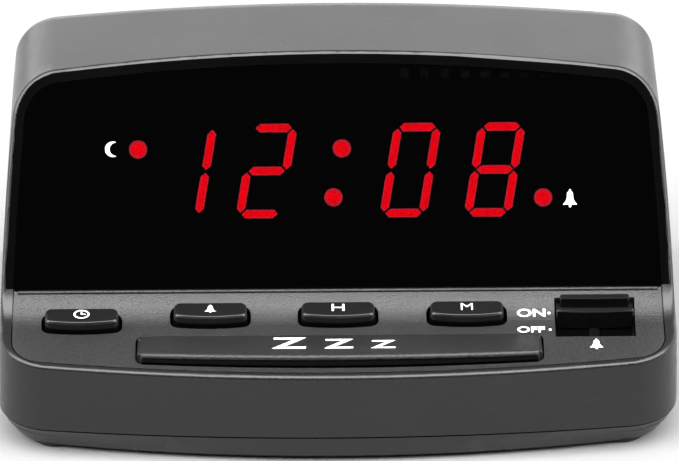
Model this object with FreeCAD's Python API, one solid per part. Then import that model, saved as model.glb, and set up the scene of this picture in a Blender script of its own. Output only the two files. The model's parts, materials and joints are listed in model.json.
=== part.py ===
import FreeCAD, Part
import math
import os

# Bedside LED alarm clock: a wedge-shaped two-part housing with a tilted black display window,
# a sloping key deck with four keys, a snooze bar and a slide switch, and the works inside.
# Millimetres. X right, Y back, Z up. Origin on the table under the middle of the box.
# "Out" is away from the surface of the deck or window; "along" runs up its slope.

Vector = FreeCAD.Vector

# Housing, outside
overall_width = 132.0
overall_depth = 80.0
top_height = 66.1
foot_proud = 0.8
base_height = 5.5
front_face_height = 13.2
front_lean = 0.7
front_bow_radius = 470.0
front_corner_radius = 10.5
deck_slope_deg = 11.0
cove_radius = 10.5
window_foot_setback = 21.9
window_foot_rise = 7.1
window_tilt_deg = 33.0
crown_radius = 500.0
crown_slope_deg = 3.0
side_bulge_radius = 460.0
belly_height = 3.5
shoulder_radius = 9.5
rear_lean_deg = 12.0
rear_edge_radius = 4.5
rim_edge_radius = 0.9
wall = 2.2

# Opening for the deck and window, and the ledge that carries them
side_rim = 2.3
front_rim = 1.2
deck_groove_setback = 1.9
top_rim = 2.1
opening_corner_radius = 6.0
panel_gap = 0.25
ledge_width = 1.8
ledge_thickness = 1.5
panel_depth = 2.5
window_recess = 0.5
bead_radius = 0.6
window_flange = 2.0

# Base moulding
base_taper_front = 0.8
base_taper_side = 2.4
base_bottom_bow_radius = 300.0
base_corner_radius = 9.0
base_bottom_chamfer = 1.0
base_floor = 2.0
parting_gap = 0.35
parting_gap_depth = 1.1
tongue_clearance = 0.2
tongue_width = 1.0
tongue_height = 2.0

# Feet and case screws
foot_radius = 5.0
foot_recess = 0.7
foot_inset_x = 11.0
foot_inset_front = 12.0
foot_inset_rear = 14.0
case_screw_inset_x = 8.5
case_screw_front = 28.5
case_screw_rear = 52.0
case_screw_radius = 1.35
case_screw_length = 14.0
case_screw_head_radius = 2.6
case_screw_head_height = 1.6
case_boss_radius = 3.4
case_boss_height = 12.0
rib_thickness = 1.5
screw_clearance = 0.05

# Keys
key_width = 14.9
key_depth = 4.6
key_height = 1.8
key_travel = 0.8
key_gap = 0.4
key_bow_radius = 45.0
key_corner_radius = 1.3
key_edge_chamfer = 0.4
key_flange_width = 1.2
key_flange_thickness = 1.0
flange_gap = 0.2
key_centres_x = {"time_button": -49.75, "alarm_button": -24.8, "hour_button": 0.0, "minute_button": 25.0}
key_front = 13.9
time_key_front = 12.5
time_key_name = "time_button"

# Snooze bar
snooze_width = 78.3
snooze_centre_x = 0.2
snooze_front = 1.9
snooze_rear = 12.3
snooze_height = 2.0
snooze_depth = 1.3
snooze_bow_radius = 543.0
snooze_corner_radius = 1.4
snooze_edge_radius = 0.6
snooze_gap = 0.35
snooze_travel = 0.9
snooze_post_radius = 2.0
snooze_post_offset = 30.0
snooze_barb = 0.6
snooze_barb_height = 0.8
post_clearance = 0.3
well_floor = 1.5
well_wall = 1.0

# Alarm slide switch
switch_left = 42.1
switch_right = 57.7
switch_front = 9.95
switch_rear = 19.3
switch_travel = 4.4
switch_gap = 0.3
switch_ridge_height = 2.3
switch_ridge_inset = 0.8
switch_front_ridge_height = 1.1
switch_front_ridge = 1.3
switch_corner_radius = 0.35
switch_bow_radius = 90.0
switch_edge_chamfer = 0.25
lever_size = 2.0
lever_depth_in_switch = 1.5
slide_body_width = 6.0
slide_body_length = 11.0
slide_body_height = 4.0

# Key board under the deck
key_board_depth = 10.0
board_thickness = 1.6
key_board_half_width = 56.0
key_board_front = 3.5
key_board_rear = 20.0
board_boss_radius = 2.6
board_screw_radius = 1.1
board_screw_length = 7.0
board_screw_head_radius = 2.2
board_screw_head_height = 1.3
key_board_screws_at = [(-53.0, 9.0), (-37.3, 17.0), (12.5, 17.0), (37.3, 17.0)]
tact_width = 6.0
tact_height = 3.5
tact_plunger_radius = 1.75
tact_plunger_height = 0.8
tact_plunger_gap = 0.05

# Display module and main board behind the window
module_gap = 0.4
module_depth = 8.0
module_half_width = 44.0
module_bottom = 9.5
module_top = 36.5
module_corner_radius = 1.0
main_board_half_width = 57.5
main_board_bottom = 2.5
main_board_top = 41.5
main_board_screw_x = 54.0
main_board_screws_along = (6.0, 38.0)
digit_height = 16.75
digit_width = 7.6
digit_slant_deg = 9.8
digit_foot = 14.75
digit_centres_x = (-30.8, -15.1, 12.95, 29.4)
segment_width = 1.7
segment_gap = 0.5
segment_depth = 1.0
dot_radius = 1.8
colon_dots_at = [(1.04, 27.44), (-0.68, 17.9)]
pm_dot_at = (-38.7, 27.5)
alarm_dot_at = (40.22, 17.6)
shown_digits = ["1", "2", "0", "8"]
pin_pitch = 2.54
pin_size = 0.5
pin_length = 1.5
pins_per_row = 15
pin_row_offset = 11.0

# Parts on the main board
chip_length = 35.0
chip_width = 13.6
chip_height = 3.8
chip_leg_count = 14
chip_x = -20.0
chip_stand_off = 0.5
chip_notch_radius = 1.2
capacitor_radius = 5.0
capacitor_height = 16.0
capacitor_lid_inset = 0.8
capacitor_lid_height = 0.4
capacitor_at = (-46.0, 24.0)
diode_radius = 1.3
diode_length = 5.0
diode_lead = 0.4
diode_count = 4
diode_pitch = 5.0
diode_bend = 2.5
first_diode_at = (26.0, 24.0)

# Backup battery, its bay and its door
battery_length = 48.5
battery_width = 26.5
battery_height = 17.5
battery_corner_radius = 2.0
battery_terminal_radius = 3.2
battery_terminal_height = 2.6
terminal_pitch = 12.7
battery_left = -48.0
battery_front = 38.0
bay_clearance = 0.5
bay_wall = 1.5
snap_space = 5.25
snap_width = 25.0
snap_height = 12.0
snap_thickness = 1.6
lead_radius = 0.6
lead_spacing = 3.0
lead_run = 5.0
battery_lead_along = 26.0
transformer_lead_along = 8.0
door_gap = 0.3
door_tab_width = 5.0
door_tab_offset = 7.0
door_tab_reach = 1.5
door_tab_thickness = 1.2
door_tab_root = 1.3
door_notch_radius = 6.0
door_notch_sphere = 7.0
door_corner_radius = 1.0
ribbon_width = 20.0
ribbon_thickness = 0.5

# Transformer
core_width = 32.0
core_height = 27.0
core_stack = 16.0
core_leg = 5.5
winding_overhang = 6.0
winding_play = 0.3
winding_step = 1.2
transformer_x = 31.0
transformer_setback = 58.0
strap_thickness = 1.0
strap_foot = 5.0
strap_width = 12.0
strap_post_height = 4.0
strap_post_radius = 2.5
bracket_screw_length = 4.8

# Sounder, mains inlet bush and rear vents
buzzer_radius = 11.5
buzzer_height = 5.0
buzzer_x = -20.0
buzzer_setback = 24.0
buzzer_ring = 1.2
buzzer_ring_height = 3.0
buzzer_port_radius = 1.5
buzzer_port_depth = 1.0
sound_hole_radius = 1.0
sound_hole_circle = 5.0
sound_hole_count = 6
inlet_x = 46.0
inlet_height = 19.0
inlet_bore_radius = 2.3
inlet_neck_radius = 4.0
inlet_flange_radius = 5.6
inlet_flange_thickness = 1.4
bush_barb = 0.9
vent_count = 9
vent_pitch = 4.0
vent_width = 1.8
vent_centre_x = 30.0
vent_low = 38.0
vent_high = 54.0

# Worked out from the sizes above
half_width = overall_width / 2
front_y = -overall_depth / 2
rear_y = overall_depth / 2
parting_z = foot_proud + base_height
floor_z = foot_proud + base_floor
deck_front_z = parting_z + front_face_height
deck_front_y = front_y + front_lean
window_foot_y = front_y + window_foot_setback
window_foot_z = deck_front_z + window_foot_rise
window_slope_deg = 90.0 - window_tilt_deg
deck_slope = math.radians(deck_slope_deg)
deck_start_y = front_y + deck_groove_setback
deck_start_z = deck_front_z + (deck_groove_setback - front_lean) * math.tan(deck_slope)
window_slope = math.radians(window_slope_deg)
rear_lean = math.tan(math.radians(rear_lean_deg))
crown_fall = math.tan(math.radians(crown_slope_deg))
ridge_y = window_foot_y + (top_height - window_foot_z) / math.tan(window_slope)
ledge_depth = panel_depth + ledge_thickness
well_depth = panel_depth + well_floor
beyond = 60.0
above = 6.0
small_round_sides = 10
medium_round_sides = 24


def line(a, b):
    return Part.LineSegment(a, b).toShape()


def arc(a, through, b):
    return Part.Arc(a, through, b).toShape()


def prism(edges, direction):
    return Part.Face(Part.Wire(edges)).extrude(direction)


def box(x0, x1, y0, y1, z0, z1):
    return Part.makeBox(x1 - x0, y1 - y0, z1 - z0, Vector(x0, y0, z0))


def peg(radius, x, y, z0, z1):
    return Part.makeCylinder(radius, z1 - z0, Vector(x, y, z0))


def ring_edges(radius, base, direction, sides):
    """A regular polygon about a point, square to a direction."""
    across = Vector(0, 1, 0) if abs(direction.x) > abs(direction.y) else Vector(1, 0, 0)
    up = across.cross(direction).normalize()
    turns = [2 * math.pi * k / sides for k in range(sides)]
    points = [base + across * (radius * math.cos(a)) + up * (radius * math.sin(a)) for a in turns]
    return [line(a, b) for a, b in zip(points, points[1:] + points[:1])]


def rod(radius, base, reach, sides=small_round_sides):
    """A small hidden round, drawn with flat sides to keep its facets few."""
    return prism(ring_edges(radius, base, reach, sides), reach)


def post(radius, x, y, z0, z1, sides=small_round_sides):
    return rod(radius, Vector(x, y, z0), Vector(0, 0, z1 - z0), sides)


def fuse(shapes):
    return shapes[0].multiFuse(shapes[1:]).removeSplitter() if len(shapes) > 1 else shapes[0]


def edges_where(shape, test, samples=5):
    """Edges whose sampled points all pass the test."""
    found = []
    for edge in shape.Edges:
        first, last = edge.ParameterRange
        steps = [first + (last - first) * k / (samples - 1) for k in range(samples)]
        if all(test(edge.valueAt(u)) for u in steps):
            found.append(edge)
    return found


def on_deck(shape):
    """Places a piece drawn as (x, along, out) on the deck."""
    placed = shape.copy()
    placed.rotate(Vector(0, 0, 0), Vector(1, 0, 0), deck_slope_deg)
    placed.translate(Vector(0, deck_start_y, deck_start_z))
    return placed


def on_window(shape):
    """Places a piece drawn as (x, along, out) on the window's frame."""
    placed = shape.copy()
    placed.rotate(Vector(0, 0, 0), Vector(1, 0, 0), window_slope_deg)
    placed.translate(Vector(0, window_foot_y, window_foot_z))
    return placed


def on_rear(shape, x, z):
    """Places a piece drawn about its own Z axis square to the leaning rear wall."""
    placed = shape.copy()
    placed.rotate(Vector(0, 0, 0), Vector(1, 0, 0), rear_lean_deg - 90)
    placed.translate(Vector(x, rear_y - (z - parting_z) * rear_lean, z))
    return placed


def outline(half, front, rear, bow, front_corner, rear_corner, z):
    """Plan outline with a bowed front, straight sides and rear, and rounded corners."""
    cx = half - front_corner
    bow_y = front + bow
    cy = bow_y - math.sqrt((bow - front_corner) ** 2 - cx ** 2)
    stretch = bow / (bow - front_corner)
    tangent_x, tangent_y = cx * stretch, bow_y + (cy - bow_y) * stretch
    mid = math.atan2(cy - bow_y, cx) / 2
    mid_x, mid_y = cx + front_corner * math.cos(mid), cy + front_corner * math.sin(mid)
    rear_cx, rear_cy = half - rear_corner, rear - rear_corner
    diagonal = rear_corner * math.sqrt(0.5)
    at = lambda x, y: Vector(x, y, z)
    return [
        arc(at(-tangent_x, tangent_y), at(0, front), at(tangent_x, tangent_y)),
        arc(at(tangent_x, tangent_y), at(mid_x, mid_y), at(half, cy)),
        line(at(half, cy), at(half, rear_cy)),
        arc(at(half, rear_cy), at(rear_cx + diagonal, rear_cy + diagonal), at(rear_cx, rear)),
        line(at(rear_cx, rear), at(-rear_cx, rear)),
        arc(at(-rear_cx, rear), at(-rear_cx - diagonal, rear_cy + diagonal), at(-half, rear_cy)),
        line(at(-half, rear_cy), at(-half, cy)),
        arc(at(-half, cy), at(-mid_x, mid_y), at(-tangent_x, tangent_y)),
    ]


def bowed_plate(centre_x, width, front, rear, bow, corner, low, high):
    plate = prism(outline(width / 2, front, rear, bow, corner, corner, low), Vector(0, 0, high - low))
    plate.translate(Vector(centre_x, 0, 0))
    return plate


def fascia_edges(depth):
    """Deck line, cove and window line, moved in by depth, from front to top."""
    rise_d, rise_w = math.tan(deck_slope), math.tan(window_slope)
    corner_y = (deck_front_z - window_foot_z - deck_front_y * rise_d + window_foot_y * rise_w) / (rise_w - rise_d)
    corner_z = deck_front_z + (corner_y - deck_front_y) * rise_d
    tangent = cove_radius * math.tan((window_slope - deck_slope) / 2)
    centre_y = corner_y - tangent * math.cos(deck_slope) - cove_radius * math.sin(deck_slope)
    centre_z = corner_z - tangent * math.sin(deck_slope) + cove_radius * math.cos(deck_slope)
    radius = cove_radius + depth
    place = lambda slope: Vector(0, centre_y + radius * math.sin(slope), centre_z - radius * math.cos(slope))
    low, mid, high = place(deck_slope), place((deck_slope + window_slope) / 2), place(window_slope)
    front = low - Vector(0, math.cos(deck_slope), math.sin(deck_slope)) * beyond
    top = high + Vector(0, math.cos(window_slope), math.sin(window_slope)) * beyond * 2
    return [line(front, low), arc(low, mid, high), line(high, top)]


def fascia_slab(outer, inner):
    """The layer between two depths under the deck, cove and window."""
    top_side, low_side = fascia_edges(outer), fascia_edges(inner)
    start, end = top_side[0].firstVertex().Point, top_side[-1].lastVertex().Point
    low_start, low_end = low_side[0].firstVertex().Point, low_side[-1].lastVertex().Point
    edges = top_side + [line(end, low_end)] + low_side[::-1] + [line(low_start, start)]
    slab = prism(Part.__sortEdges__(edges), Vector(overall_width + 2 * beyond, 0, 0))
    slab.translate(Vector(-half_width - beyond, 0, 0))
    return slab


def shoulder_centre(crown_centre, crown, side_centre, bulge):
    """Centre of the circle that touches the crown's and the side's circles from inside."""
    apart = side_centre - crown_centre
    share = (crown ** 2 - bulge ** 2 + apart.Length ** 2) / (2 * apart.Length)
    lift = math.sqrt(crown ** 2 - share ** 2)
    along = apart.normalize()
    return crown_centre + along * share + Vector(along.z, 0, -along.x) * lift * math.copysign(1, -along.x)


def elevation(side, top, rear):
    """Front view of the housing carried back to a rounded rear edge, then leaned by crown slope and rear wall."""
    half, peak = half_width - side, top_height - top
    crown, bulge, shoulder = crown_radius - top, side_bulge_radius - side, shoulder_radius - max(side, top)
    start = -2 * beyond
    crown_centre = Vector(0, start, peak - crown)
    side_centre = Vector(half - bulge, start, belly_height)
    centre = shoulder_centre(crown_centre, crown - shoulder, side_centre, bulge - shoulder)
    on_side = centre + (centre - side_centre).normalize() * shoulder
    on_crown = centre + (centre - crown_centre).normalize() * shoulder
    between = centre + (on_side + on_crown - centre * 2).normalize() * shoulder
    low, belly, summit = Vector(half, start, -beyond), Vector(half, start, belly_height), Vector(0, start, peak)
    side_middle = side_centre + (belly + on_side - side_centre * 2).normalize() * bulge
    across = lambda p: Vector(-p.x, p.y, p.z)
    edges = [
        line(across(low), low),
        line(low, belly),
        arc(belly, side_middle, on_side),
        arc(on_side, between, on_crown),
        arc(on_crown, summit, across(on_crown)),
        arc(across(on_crown), across(between), across(on_side)),
        arc(across(on_side), across(side_middle), across(belly)),
        line(across(belly), across(low)),
    ]
    end = rear_y - rear
    shape = prism(edges, Vector(0, end - start, 0))
    crown_edge = edges_where(shape, lambda p: abs(p.y - end) < 1e-6 and p.z > on_crown.z - 1e-6)
    shape = shape.makeFillet(rear_edge_radius - rear, crown_edge)
    lean = FreeCAD.Matrix()
    lean.A22 = 1 + rear_lean * crown_fall
    lean.A23 = -rear_lean
    lean.A24 = rear_lean * (parting_z - crown_fall * ridge_y)
    lean.A32 = -crown_fall
    lean.A34 = crown_fall * ridge_y
    return shape.transformGeometry(lean)


def front_wall(inset):
    """Everything behind the bowed, slightly leaning front face."""
    reach = half_width + above
    bow = front_bow_radius - inset
    sag = bow - math.sqrt(bow ** 2 - reach ** 2)
    lean = front_lean / front_face_height
    low = -beyond
    front = front_y + inset + (low - parting_z) * lean
    at = lambda x, y: Vector(x, y, low)
    edges = [
        arc(at(-reach, front + sag), at(0, front), at(reach, front + sag)),
        line(at(reach, front + sag), at(reach, rear_y + beyond)),
        line(at(reach, rear_y + beyond), at(-reach, rear_y + beyond)),
        line(at(-reach, rear_y + beyond), at(-reach, front + sag)),
    ]
    height = 3 * beyond
    return prism(edges, Vector(0, height * lean, height))


def wedge(depth):
    """Everything under the deck, cove and window moved in by depth."""
    fascia = fascia_edges(depth)
    front, top = fascia[0].firstVertex().Point, fascia[-1].lastVertex().Point
    top_rear, low_rear = Vector(0, 3 * beyond, top.z), Vector(0, 3 * beyond, -beyond)
    front_low = Vector(0, front.y, -beyond)
    edges = fascia + [line(top, top_rear), line(top_rear, low_rear), line(low_rear, front_low), line(front_low, front)]
    shape = prism(edges, Vector(overall_width + 2 * beyond, 0, 0))
    shape.translate(Vector(-half_width - beyond, 0, 0))
    return shape


def block(side, front, top, rear, corner):
    """The housing's form above the parting, moved in on each side, left whole over the fascia."""
    shape = elevation(side, top, rear).common(front_wall(front)).common(wedge(-above))
    shape = shape.common(box(-half_width, half_width, -beyond * 2, beyond * 2, parting_z, beyond * 2))
    sag = front_bow_radius - math.sqrt(front_bow_radius ** 2 - half_width ** 2)
    deepest = front_y + front + sag + 2 * front_lean
    on_corner = lambda p: abs(p.x) > half_width - side - front_corner_radius / 2 and p.y < deepest
    return shape.makeFillet(corner, edges_where(shape, on_corner))


def soften_fascia(shape):
    """Rounds the edge all round the deck and window."""
    track = Part.Wire(fascia_edges(0))
    on_fascia = lambda p: Part.Vertex(Vector(0, p.y, p.z)).distToShape(track)[0] < 0.01
    crosswise = lambda e: e.Curve.TypeId == "Part::GeomLine" and e.Length > half_width
    edges = [e for e in edges_where(shape, on_fascia) if not crosswise(e)]
    return shape.makeFillet(rim_edge_radius, edges)


def opening_form(margin):
    """The opening's form, moved in by margin from its own edge."""
    side, front, top = side_rim + margin, front_rim + margin, top_rim + margin
    return block(side, front, top, top, opening_corner_radius - margin)


def case_screw_places():
    x = half_width - case_screw_inset_x
    return [(s * x, front_y + y) for y in (case_screw_front, case_screw_rear) for s in (-1, 1)]


def foot_places():
    x = half_width - foot_inset_x
    return [(s * x, y) for y in (front_y + foot_inset_front, rear_y - foot_inset_rear) for s in (-1, 1)]


def vent_slot(x):
    """An upright slot cut through the rear wall."""
    half, depth = vent_width / 2, wall * 6
    y = rear_y - (vent_high - parting_z) * rear_lean - depth
    return box(x - half, x + half, y, y + 2 * depth, vent_low, vent_high)


def inlet_hole():
    hole = post(inlet_neck_radius + panel_gap, 0, 0, -wall * 2, wall * 2, medium_round_sides)
    return on_rear(hole, inlet_x, inlet_height)


def main_board_bosses():
    """Pillars with a rib to the side wall, from the window's ledge back to the main board."""
    low = -(module_depth + panel_depth + module_gap)
    shapes = []
    for side in (-1, 1):
        x = side * main_board_screw_x
        for along in main_board_screws_along:
            shapes.append(post(board_boss_radius, x, along, low, -panel_depth))
            x0, x1 = sorted((x, side * (half_width - wall / 2)))
            half = rib_thickness / 2
            shapes.append(box(x0, x1, along - half, along + half, low, -panel_depth))
    return on_window(fuse(shapes))


def make_upper_case():
    outer = block(0, 0, 0, 0, front_corner_radius).common(wedge(0)).removeSplitter()
    outer = soften_fascia(outer)
    cavity = block(wall, wall, wall, wall, front_corner_radius - wall).common(wedge(ledge_depth))
    shell = outer.cut(cavity)
    bosses = [main_board_bosses()]
    for x, y in case_screw_places():
        bosses.append(post(case_boss_radius, x, y, parting_z, parting_z + case_boss_height))
        x0, x1 = sorted((x, math.copysign(half_width - wall / 2, x)))
        half = rib_thickness / 2
        bosses.append(box(x0, x1, y - half, y + half, parting_z, parting_z + case_boss_height))
    inside = block(wall / 2, wall / 2, wall / 2, wall / 2, front_corner_radius - wall / 2)
    inside = inside.common(wedge(panel_depth))
    shell = shell.fuse(fuse(bosses).common(inside))
    shell = shell.cut(opening_form(0).common(fascia_slab(-above, panel_depth)))
    shell = shell.cut(opening_form(ledge_width).common(fascia_slab(-above, ledge_depth + 0.01)))
    for x, y in case_screw_places():
        reach = case_screw_length - (parting_z - foot_proud) + case_screw_head_height
        shell = shell.cut(post(case_screw_radius + screw_clearance, x, y, parting_z, parting_z + reach))
    low = -(module_depth + panel_depth + module_gap)
    for side in (-1, 1):
        for along in main_board_screws_along:
            x, high = side * main_board_screw_x, low + board_screw_length
            shell = shell.cut(on_window(post(board_screw_radius + screw_clearance, x, along, low, high)))
    first = vent_centre_x - (vent_count - 1) * vent_pitch / 2
    for k in range(vent_count):
        shell = shell.cut(vent_slot(first + k * vent_pitch))
    return shell.cut(inlet_hole()).removeSplitter()


def key_prism(name, margin, low, high):
    """A key's outline grown by margin, between two heights above the deck."""
    front = time_key_front if name == time_key_name else key_front
    return bowed_plate(key_centres_x[name], key_width + 2 * margin, front - margin, front + key_depth + margin,
                       key_bow_radius + margin, key_corner_radius + margin, low, high)


def snooze_prism(margin, low, high):
    return bowed_plate(snooze_centre_x, snooze_width + 2 * margin, snooze_front - margin, snooze_rear + margin,
                       snooze_bow_radius + margin, snooze_corner_radius + margin, low, high)


def snooze_posts(radius, low, high):
    along = (snooze_front + snooze_rear) / 2
    xs = (snooze_centre_x - snooze_post_offset, snooze_centre_x, snooze_centre_x + snooze_post_offset)
    return [post(radius, x, along, low, high) for x in xs]


def well_front():
    """Where a well's floor may start: behind the ledge that carries the deck."""
    start = front_rim + ledge_width - (deck_groove_setback - front_lean)
    return start / math.cos(deck_slope) + 2 * panel_gap


def switch_place():
    """Centre of the slide switch's lever at rest, in deck coordinates."""
    knob_length = switch_rear - switch_front - 2 * switch_gap - switch_travel
    return (switch_left + switch_right) / 2, switch_rear - switch_gap - knob_length / 2


def make_control_deck():
    window_side = on_window(box(-beyond * 2, beyond * 2, 0, beyond * 3, -beyond, beyond))
    slab = opening_form(panel_gap).common(fascia_slab(0, panel_depth)).cut(window_side)
    carrier = opening_form(ledge_width + panel_gap).common(fascia_slab(panel_depth, ledge_depth))
    band = on_window(box(-beyond, beyond, -window_flange, window_flange, -beyond, beyond))
    reach = half_width - side_rim - panel_gap - 2 * bead_radius
    bead = Part.makeCylinder(bead_radius, 2 * reach, Vector(-reach, -bead_radius, 0), Vector(1, 0, 0))
    front = well_front()
    snooze_well = bowed_plate(snooze_centre_x, snooze_width + 2 * well_wall, front, snooze_rear + well_wall,
                              front_bow_radius, well_wall, -well_depth, -panel_depth / 2)
    switch_well = box(switch_left - well_wall, switch_right + well_wall, switch_front - well_wall,
                      switch_rear + well_wall, -well_depth, -panel_depth / 2)
    bosses = [post(board_boss_radius, x, y, -key_board_depth, -panel_depth / 2) for x, y in key_board_screws_at]
    below = fascia_slab(panel_depth / 2, beyond / 2)
    added = on_deck(fuse([snooze_well, switch_well] + bosses)).common(below)
    deck = slab.multiFuse([carrier.common(band), on_window(bead), added])
    holes = [snooze_prism(snooze_gap, -panel_depth, above)]
    holes.append(box(switch_left, switch_right, switch_front, switch_rear, -panel_depth, above))
    holes += [key_prism(name, key_gap, -above, above) for name in key_centres_x]
    holes += snooze_posts(snooze_post_radius + post_clearance, -above, 0)
    x, along = switch_place()
    half = lever_size / 2 + switch_gap
    holes.append(box(x - half, x + half, along - switch_travel - half, along + half, -above, 0))
    low = -key_board_depth
    pilot = board_screw_radius + screw_clearance
    holes += [post(pilot, x, y, low, low + board_screw_length - board_thickness) for x, y in key_board_screws_at]
    for hole in holes:
        deck = deck.cut(on_deck(hole))
    return deck.removeSplitter()


def make_display_lens():
    window_side = on_window(box(-beyond * 2, beyond * 2, panel_gap / 2, beyond * 3, -beyond, beyond))
    return opening_form(panel_gap).common(fascia_slab(window_recess, panel_depth)).common(window_side)


def base_outline(z, taper, bow, inset, rear_inset=0.0):
    front = front_y + inset + (base_taper_front if taper else 0)
    side = inset + (base_taper_side if taper else 0)
    corner = (base_corner_radius if taper else front_corner_radius) - inset
    rear = rear_y - side - rear_inset
    return outline(half_width - side, front, rear, bow - inset, corner, rear_edge_radius - inset / 2, z)


def base_loft(inset, low, high):
    edge = base_bottom_chamfer
    wires = [Part.Wire(base_outline(low, True, base_bottom_bow_radius, inset + edge)),
             Part.Wire(base_outline(low + edge, True, base_bottom_bow_radius, inset)),
             Part.Wire(base_outline(high, False, front_bow_radius, inset))]
    return Part.makeLoft(wires, True, True)


def ring(outer, inner, low, high, rear_inset=0.0):
    """A band following the plan outline between two insets."""
    shapes = []
    for inset in (outer, inner):
        edges = base_outline(low, False, front_bow_radius, inset, rear_inset)
        shapes.append(prism(edges, Vector(0, 0, high - low)))
    return shapes[0].cut(shapes[1])


def bay_limits():
    """Inside of the battery bay: left, right, front and rear."""
    left = battery_left - bay_clearance
    right = battery_left + battery_length + snap_space
    front = front_y + battery_front - bay_clearance
    return left, right, front, front + battery_width + 2 * bay_clearance


def door_tab_places():
    left, right, front, rear = bay_limits()
    centre = (front + rear) / 2
    return [centre + side * door_tab_offset for side in (-1, 1)]


def make_base_case():
    shell = base_loft(0, foot_proud, parting_z)
    shell = shell.cut(base_loft(wall, floor_z, parting_z + 0.01))
    shell = shell.cut(ring(0, parting_gap_depth, parting_z - parting_gap, parting_z))
    inner = wall + tongue_clearance
    lean = tongue_height * rear_lean
    root = ring(parting_gap_depth, inner + tongue_width + lean, parting_z - tongue_height, parting_z)
    tongue = ring(inner, inner + tongue_width, parting_z, parting_z + tongue_height, lean)
    tongue = root.fuse(tongue)
    for x, y in case_screw_places():
        reach = case_boss_radius + tongue_clearance
        wall_x = math.copysign(half_width, x)
        x0, x1 = sorted((x, wall_x))
        tongue = tongue.cut(box(x0, x1, y - reach, y + reach, parting_z, parting_z + tongue_height))
    left, right, front, rear = bay_limits()
    roof = floor_z + door_gap + battery_height + bay_clearance
    bay = box(left - bay_wall, right + bay_wall, front - bay_wall, rear + bay_wall, foot_proud, roof + bay_wall)
    added = [tongue, bay]
    added += [post(case_boss_radius, x, y, foot_proud, parting_z) for x, y in case_screw_places()]
    holder_y = front_y + buzzer_setback
    round_at = lambda radius, high: post(radius, buzzer_x, holder_y, floor_z, high, medium_round_sides)
    holder = round_at(buzzer_radius + panel_gap + buzzer_ring, floor_z + buzzer_ring_height)
    added.append(holder.cut(round_at(buzzer_radius + panel_gap, floor_z + above)))
    added += [post(strap_post_radius, x, y, foot_proud, floor_z + strap_post_height) for x, y in strap_screw_places()]
    shell = shell.multiFuse(added)
    cuts = [box(left, right, front, rear, foot_proud, roof)]
    pilot = board_screw_radius + screw_clearance
    top = floor_z + strap_post_height
    depth = bracket_screw_length - strap_thickness
    cuts += [post(pilot, x, y, top - depth, top) for x, y in strap_screw_places()]
    y, slot = (front + rear) / 2, lead_spacing + 2 * lead_radius
    cuts.append(box(snap_face_x(), right, y - slot, y + slot, roof, roof + bay_wall))
    for y in door_tab_places():
        half = door_tab_width / 2 + door_gap
        axis_start = Vector(right - door_gap, y - half, foot_proud)
        notch = Part.makeCylinder(door_notch_radius, 2 * half, axis_start, Vector(0, 1, 0))
        cuts.append(notch.common(box(left, right + bay_wall, y - half, y + half, floor_z, roof)))
    for x, y in case_screw_places():
        cuts.append(post(case_screw_radius + screw_clearance, x, y, foot_proud, parting_z))
        room, seat = case_screw_head_radius + screw_clearance * 2, foot_proud + case_screw_head_height + foot_recess
        cuts.append(post(room, x, y, 0, seat, medium_round_sides))
    cuts += [peg(foot_radius, x, y, 0, foot_proud + foot_recess) for x, y in foot_places()]
    cuts.append(post(sound_hole_radius, buzzer_x, holder_y, 0, floor_z))
    for k in range(sound_hole_count):
        a = 2 * math.pi * k / sound_hole_count
        x, y = buzzer_x + sound_hole_circle * math.cos(a), holder_y + sound_hole_circle * math.sin(a)
        cuts.append(post(sound_hole_radius, x, y, 0, floor_z))
    for cut in cuts:
        shell = shell.cut(cut)
    return shell.removeSplitter()


def make_rubber_feet():
    return Part.makeCompound([peg(foot_radius, x, y, 0, foot_proud + foot_recess) for x, y in foot_places()])


def pan_screw(shank, head, head_height, length):
    """Screw pointing up, with its head's seat at height zero and a slot across the head."""
    crown = head_height * 0.4
    rounds = [(head, -head_height + crown, 0), (head * 0.8, -head_height, 0)]
    body = fuse([post(radius, 0, 0, low, high) for radius, low, high in rounds] + [post(shank, 0, 0, 0, length)])
    return body.cut(box(-head, head, -0.3, 0.3, -head_height, -head_height * 0.6))


def make_case_screws():
    seat = foot_proud + case_screw_head_height + foot_recess
    length = case_screw_length - case_screw_head_height
    screw = pan_screw(case_screw_radius, case_screw_head_radius, case_screw_head_height, length)
    return Part.makeCompound([screw.translated(Vector(x, y, seat)) for x, y in case_screw_places()])


def board_screw():
    return pan_screw(board_screw_radius, board_screw_head_radius, board_screw_head_height, board_screw_length)


def make_key_board_screws():
    seat = -key_board_depth - board_thickness
    return Part.makeCompound([on_deck(board_screw().translated(Vector(x, y, seat))) for x, y in key_board_screws_at])


def main_board_front():
    return -(panel_depth + module_gap + module_depth)


def make_main_board_screws():
    seat = main_board_front() - board_thickness
    places = [(s * main_board_screw_x, along) for s in (-1, 1) for along in main_board_screws_along]
    return Part.makeCompound([on_window(board_screw().translated(Vector(x, y, seat))) for x, y in places])


def make_key(name):
    """Key cap with a bowed front, softened top edges, side flanges and a stem to its switch."""
    low = -panel_depth - flange_gap - key_flange_thickness
    cap = key_prism(name, 0, low, key_height)
    cap = cap.makeChamfer(key_edge_chamfer, edges_where(cap, lambda p: abs(p.z - key_height) < 1e-6))
    front = time_key_front if name == time_key_name else key_front
    x = key_centres_x[name]
    half = key_width / 2 + key_flange_width
    rear = front + key_depth - key_corner_radius
    flange = box(x - half, x + half, front + key_corner_radius, rear, low, low + key_flange_thickness)
    stem = post(tact_plunger_radius, x, front + key_depth / 2, stem_foot(key_travel), low + key_flange_thickness)
    return on_deck(fuse([cap, flange, stem]))


def stem_foot(travel):
    """Height of a stem's end, just clear of its switch when the key is fully down."""
    return -key_board_depth + tact_height + tact_plunger_height + travel + tact_plunger_gap


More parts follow.
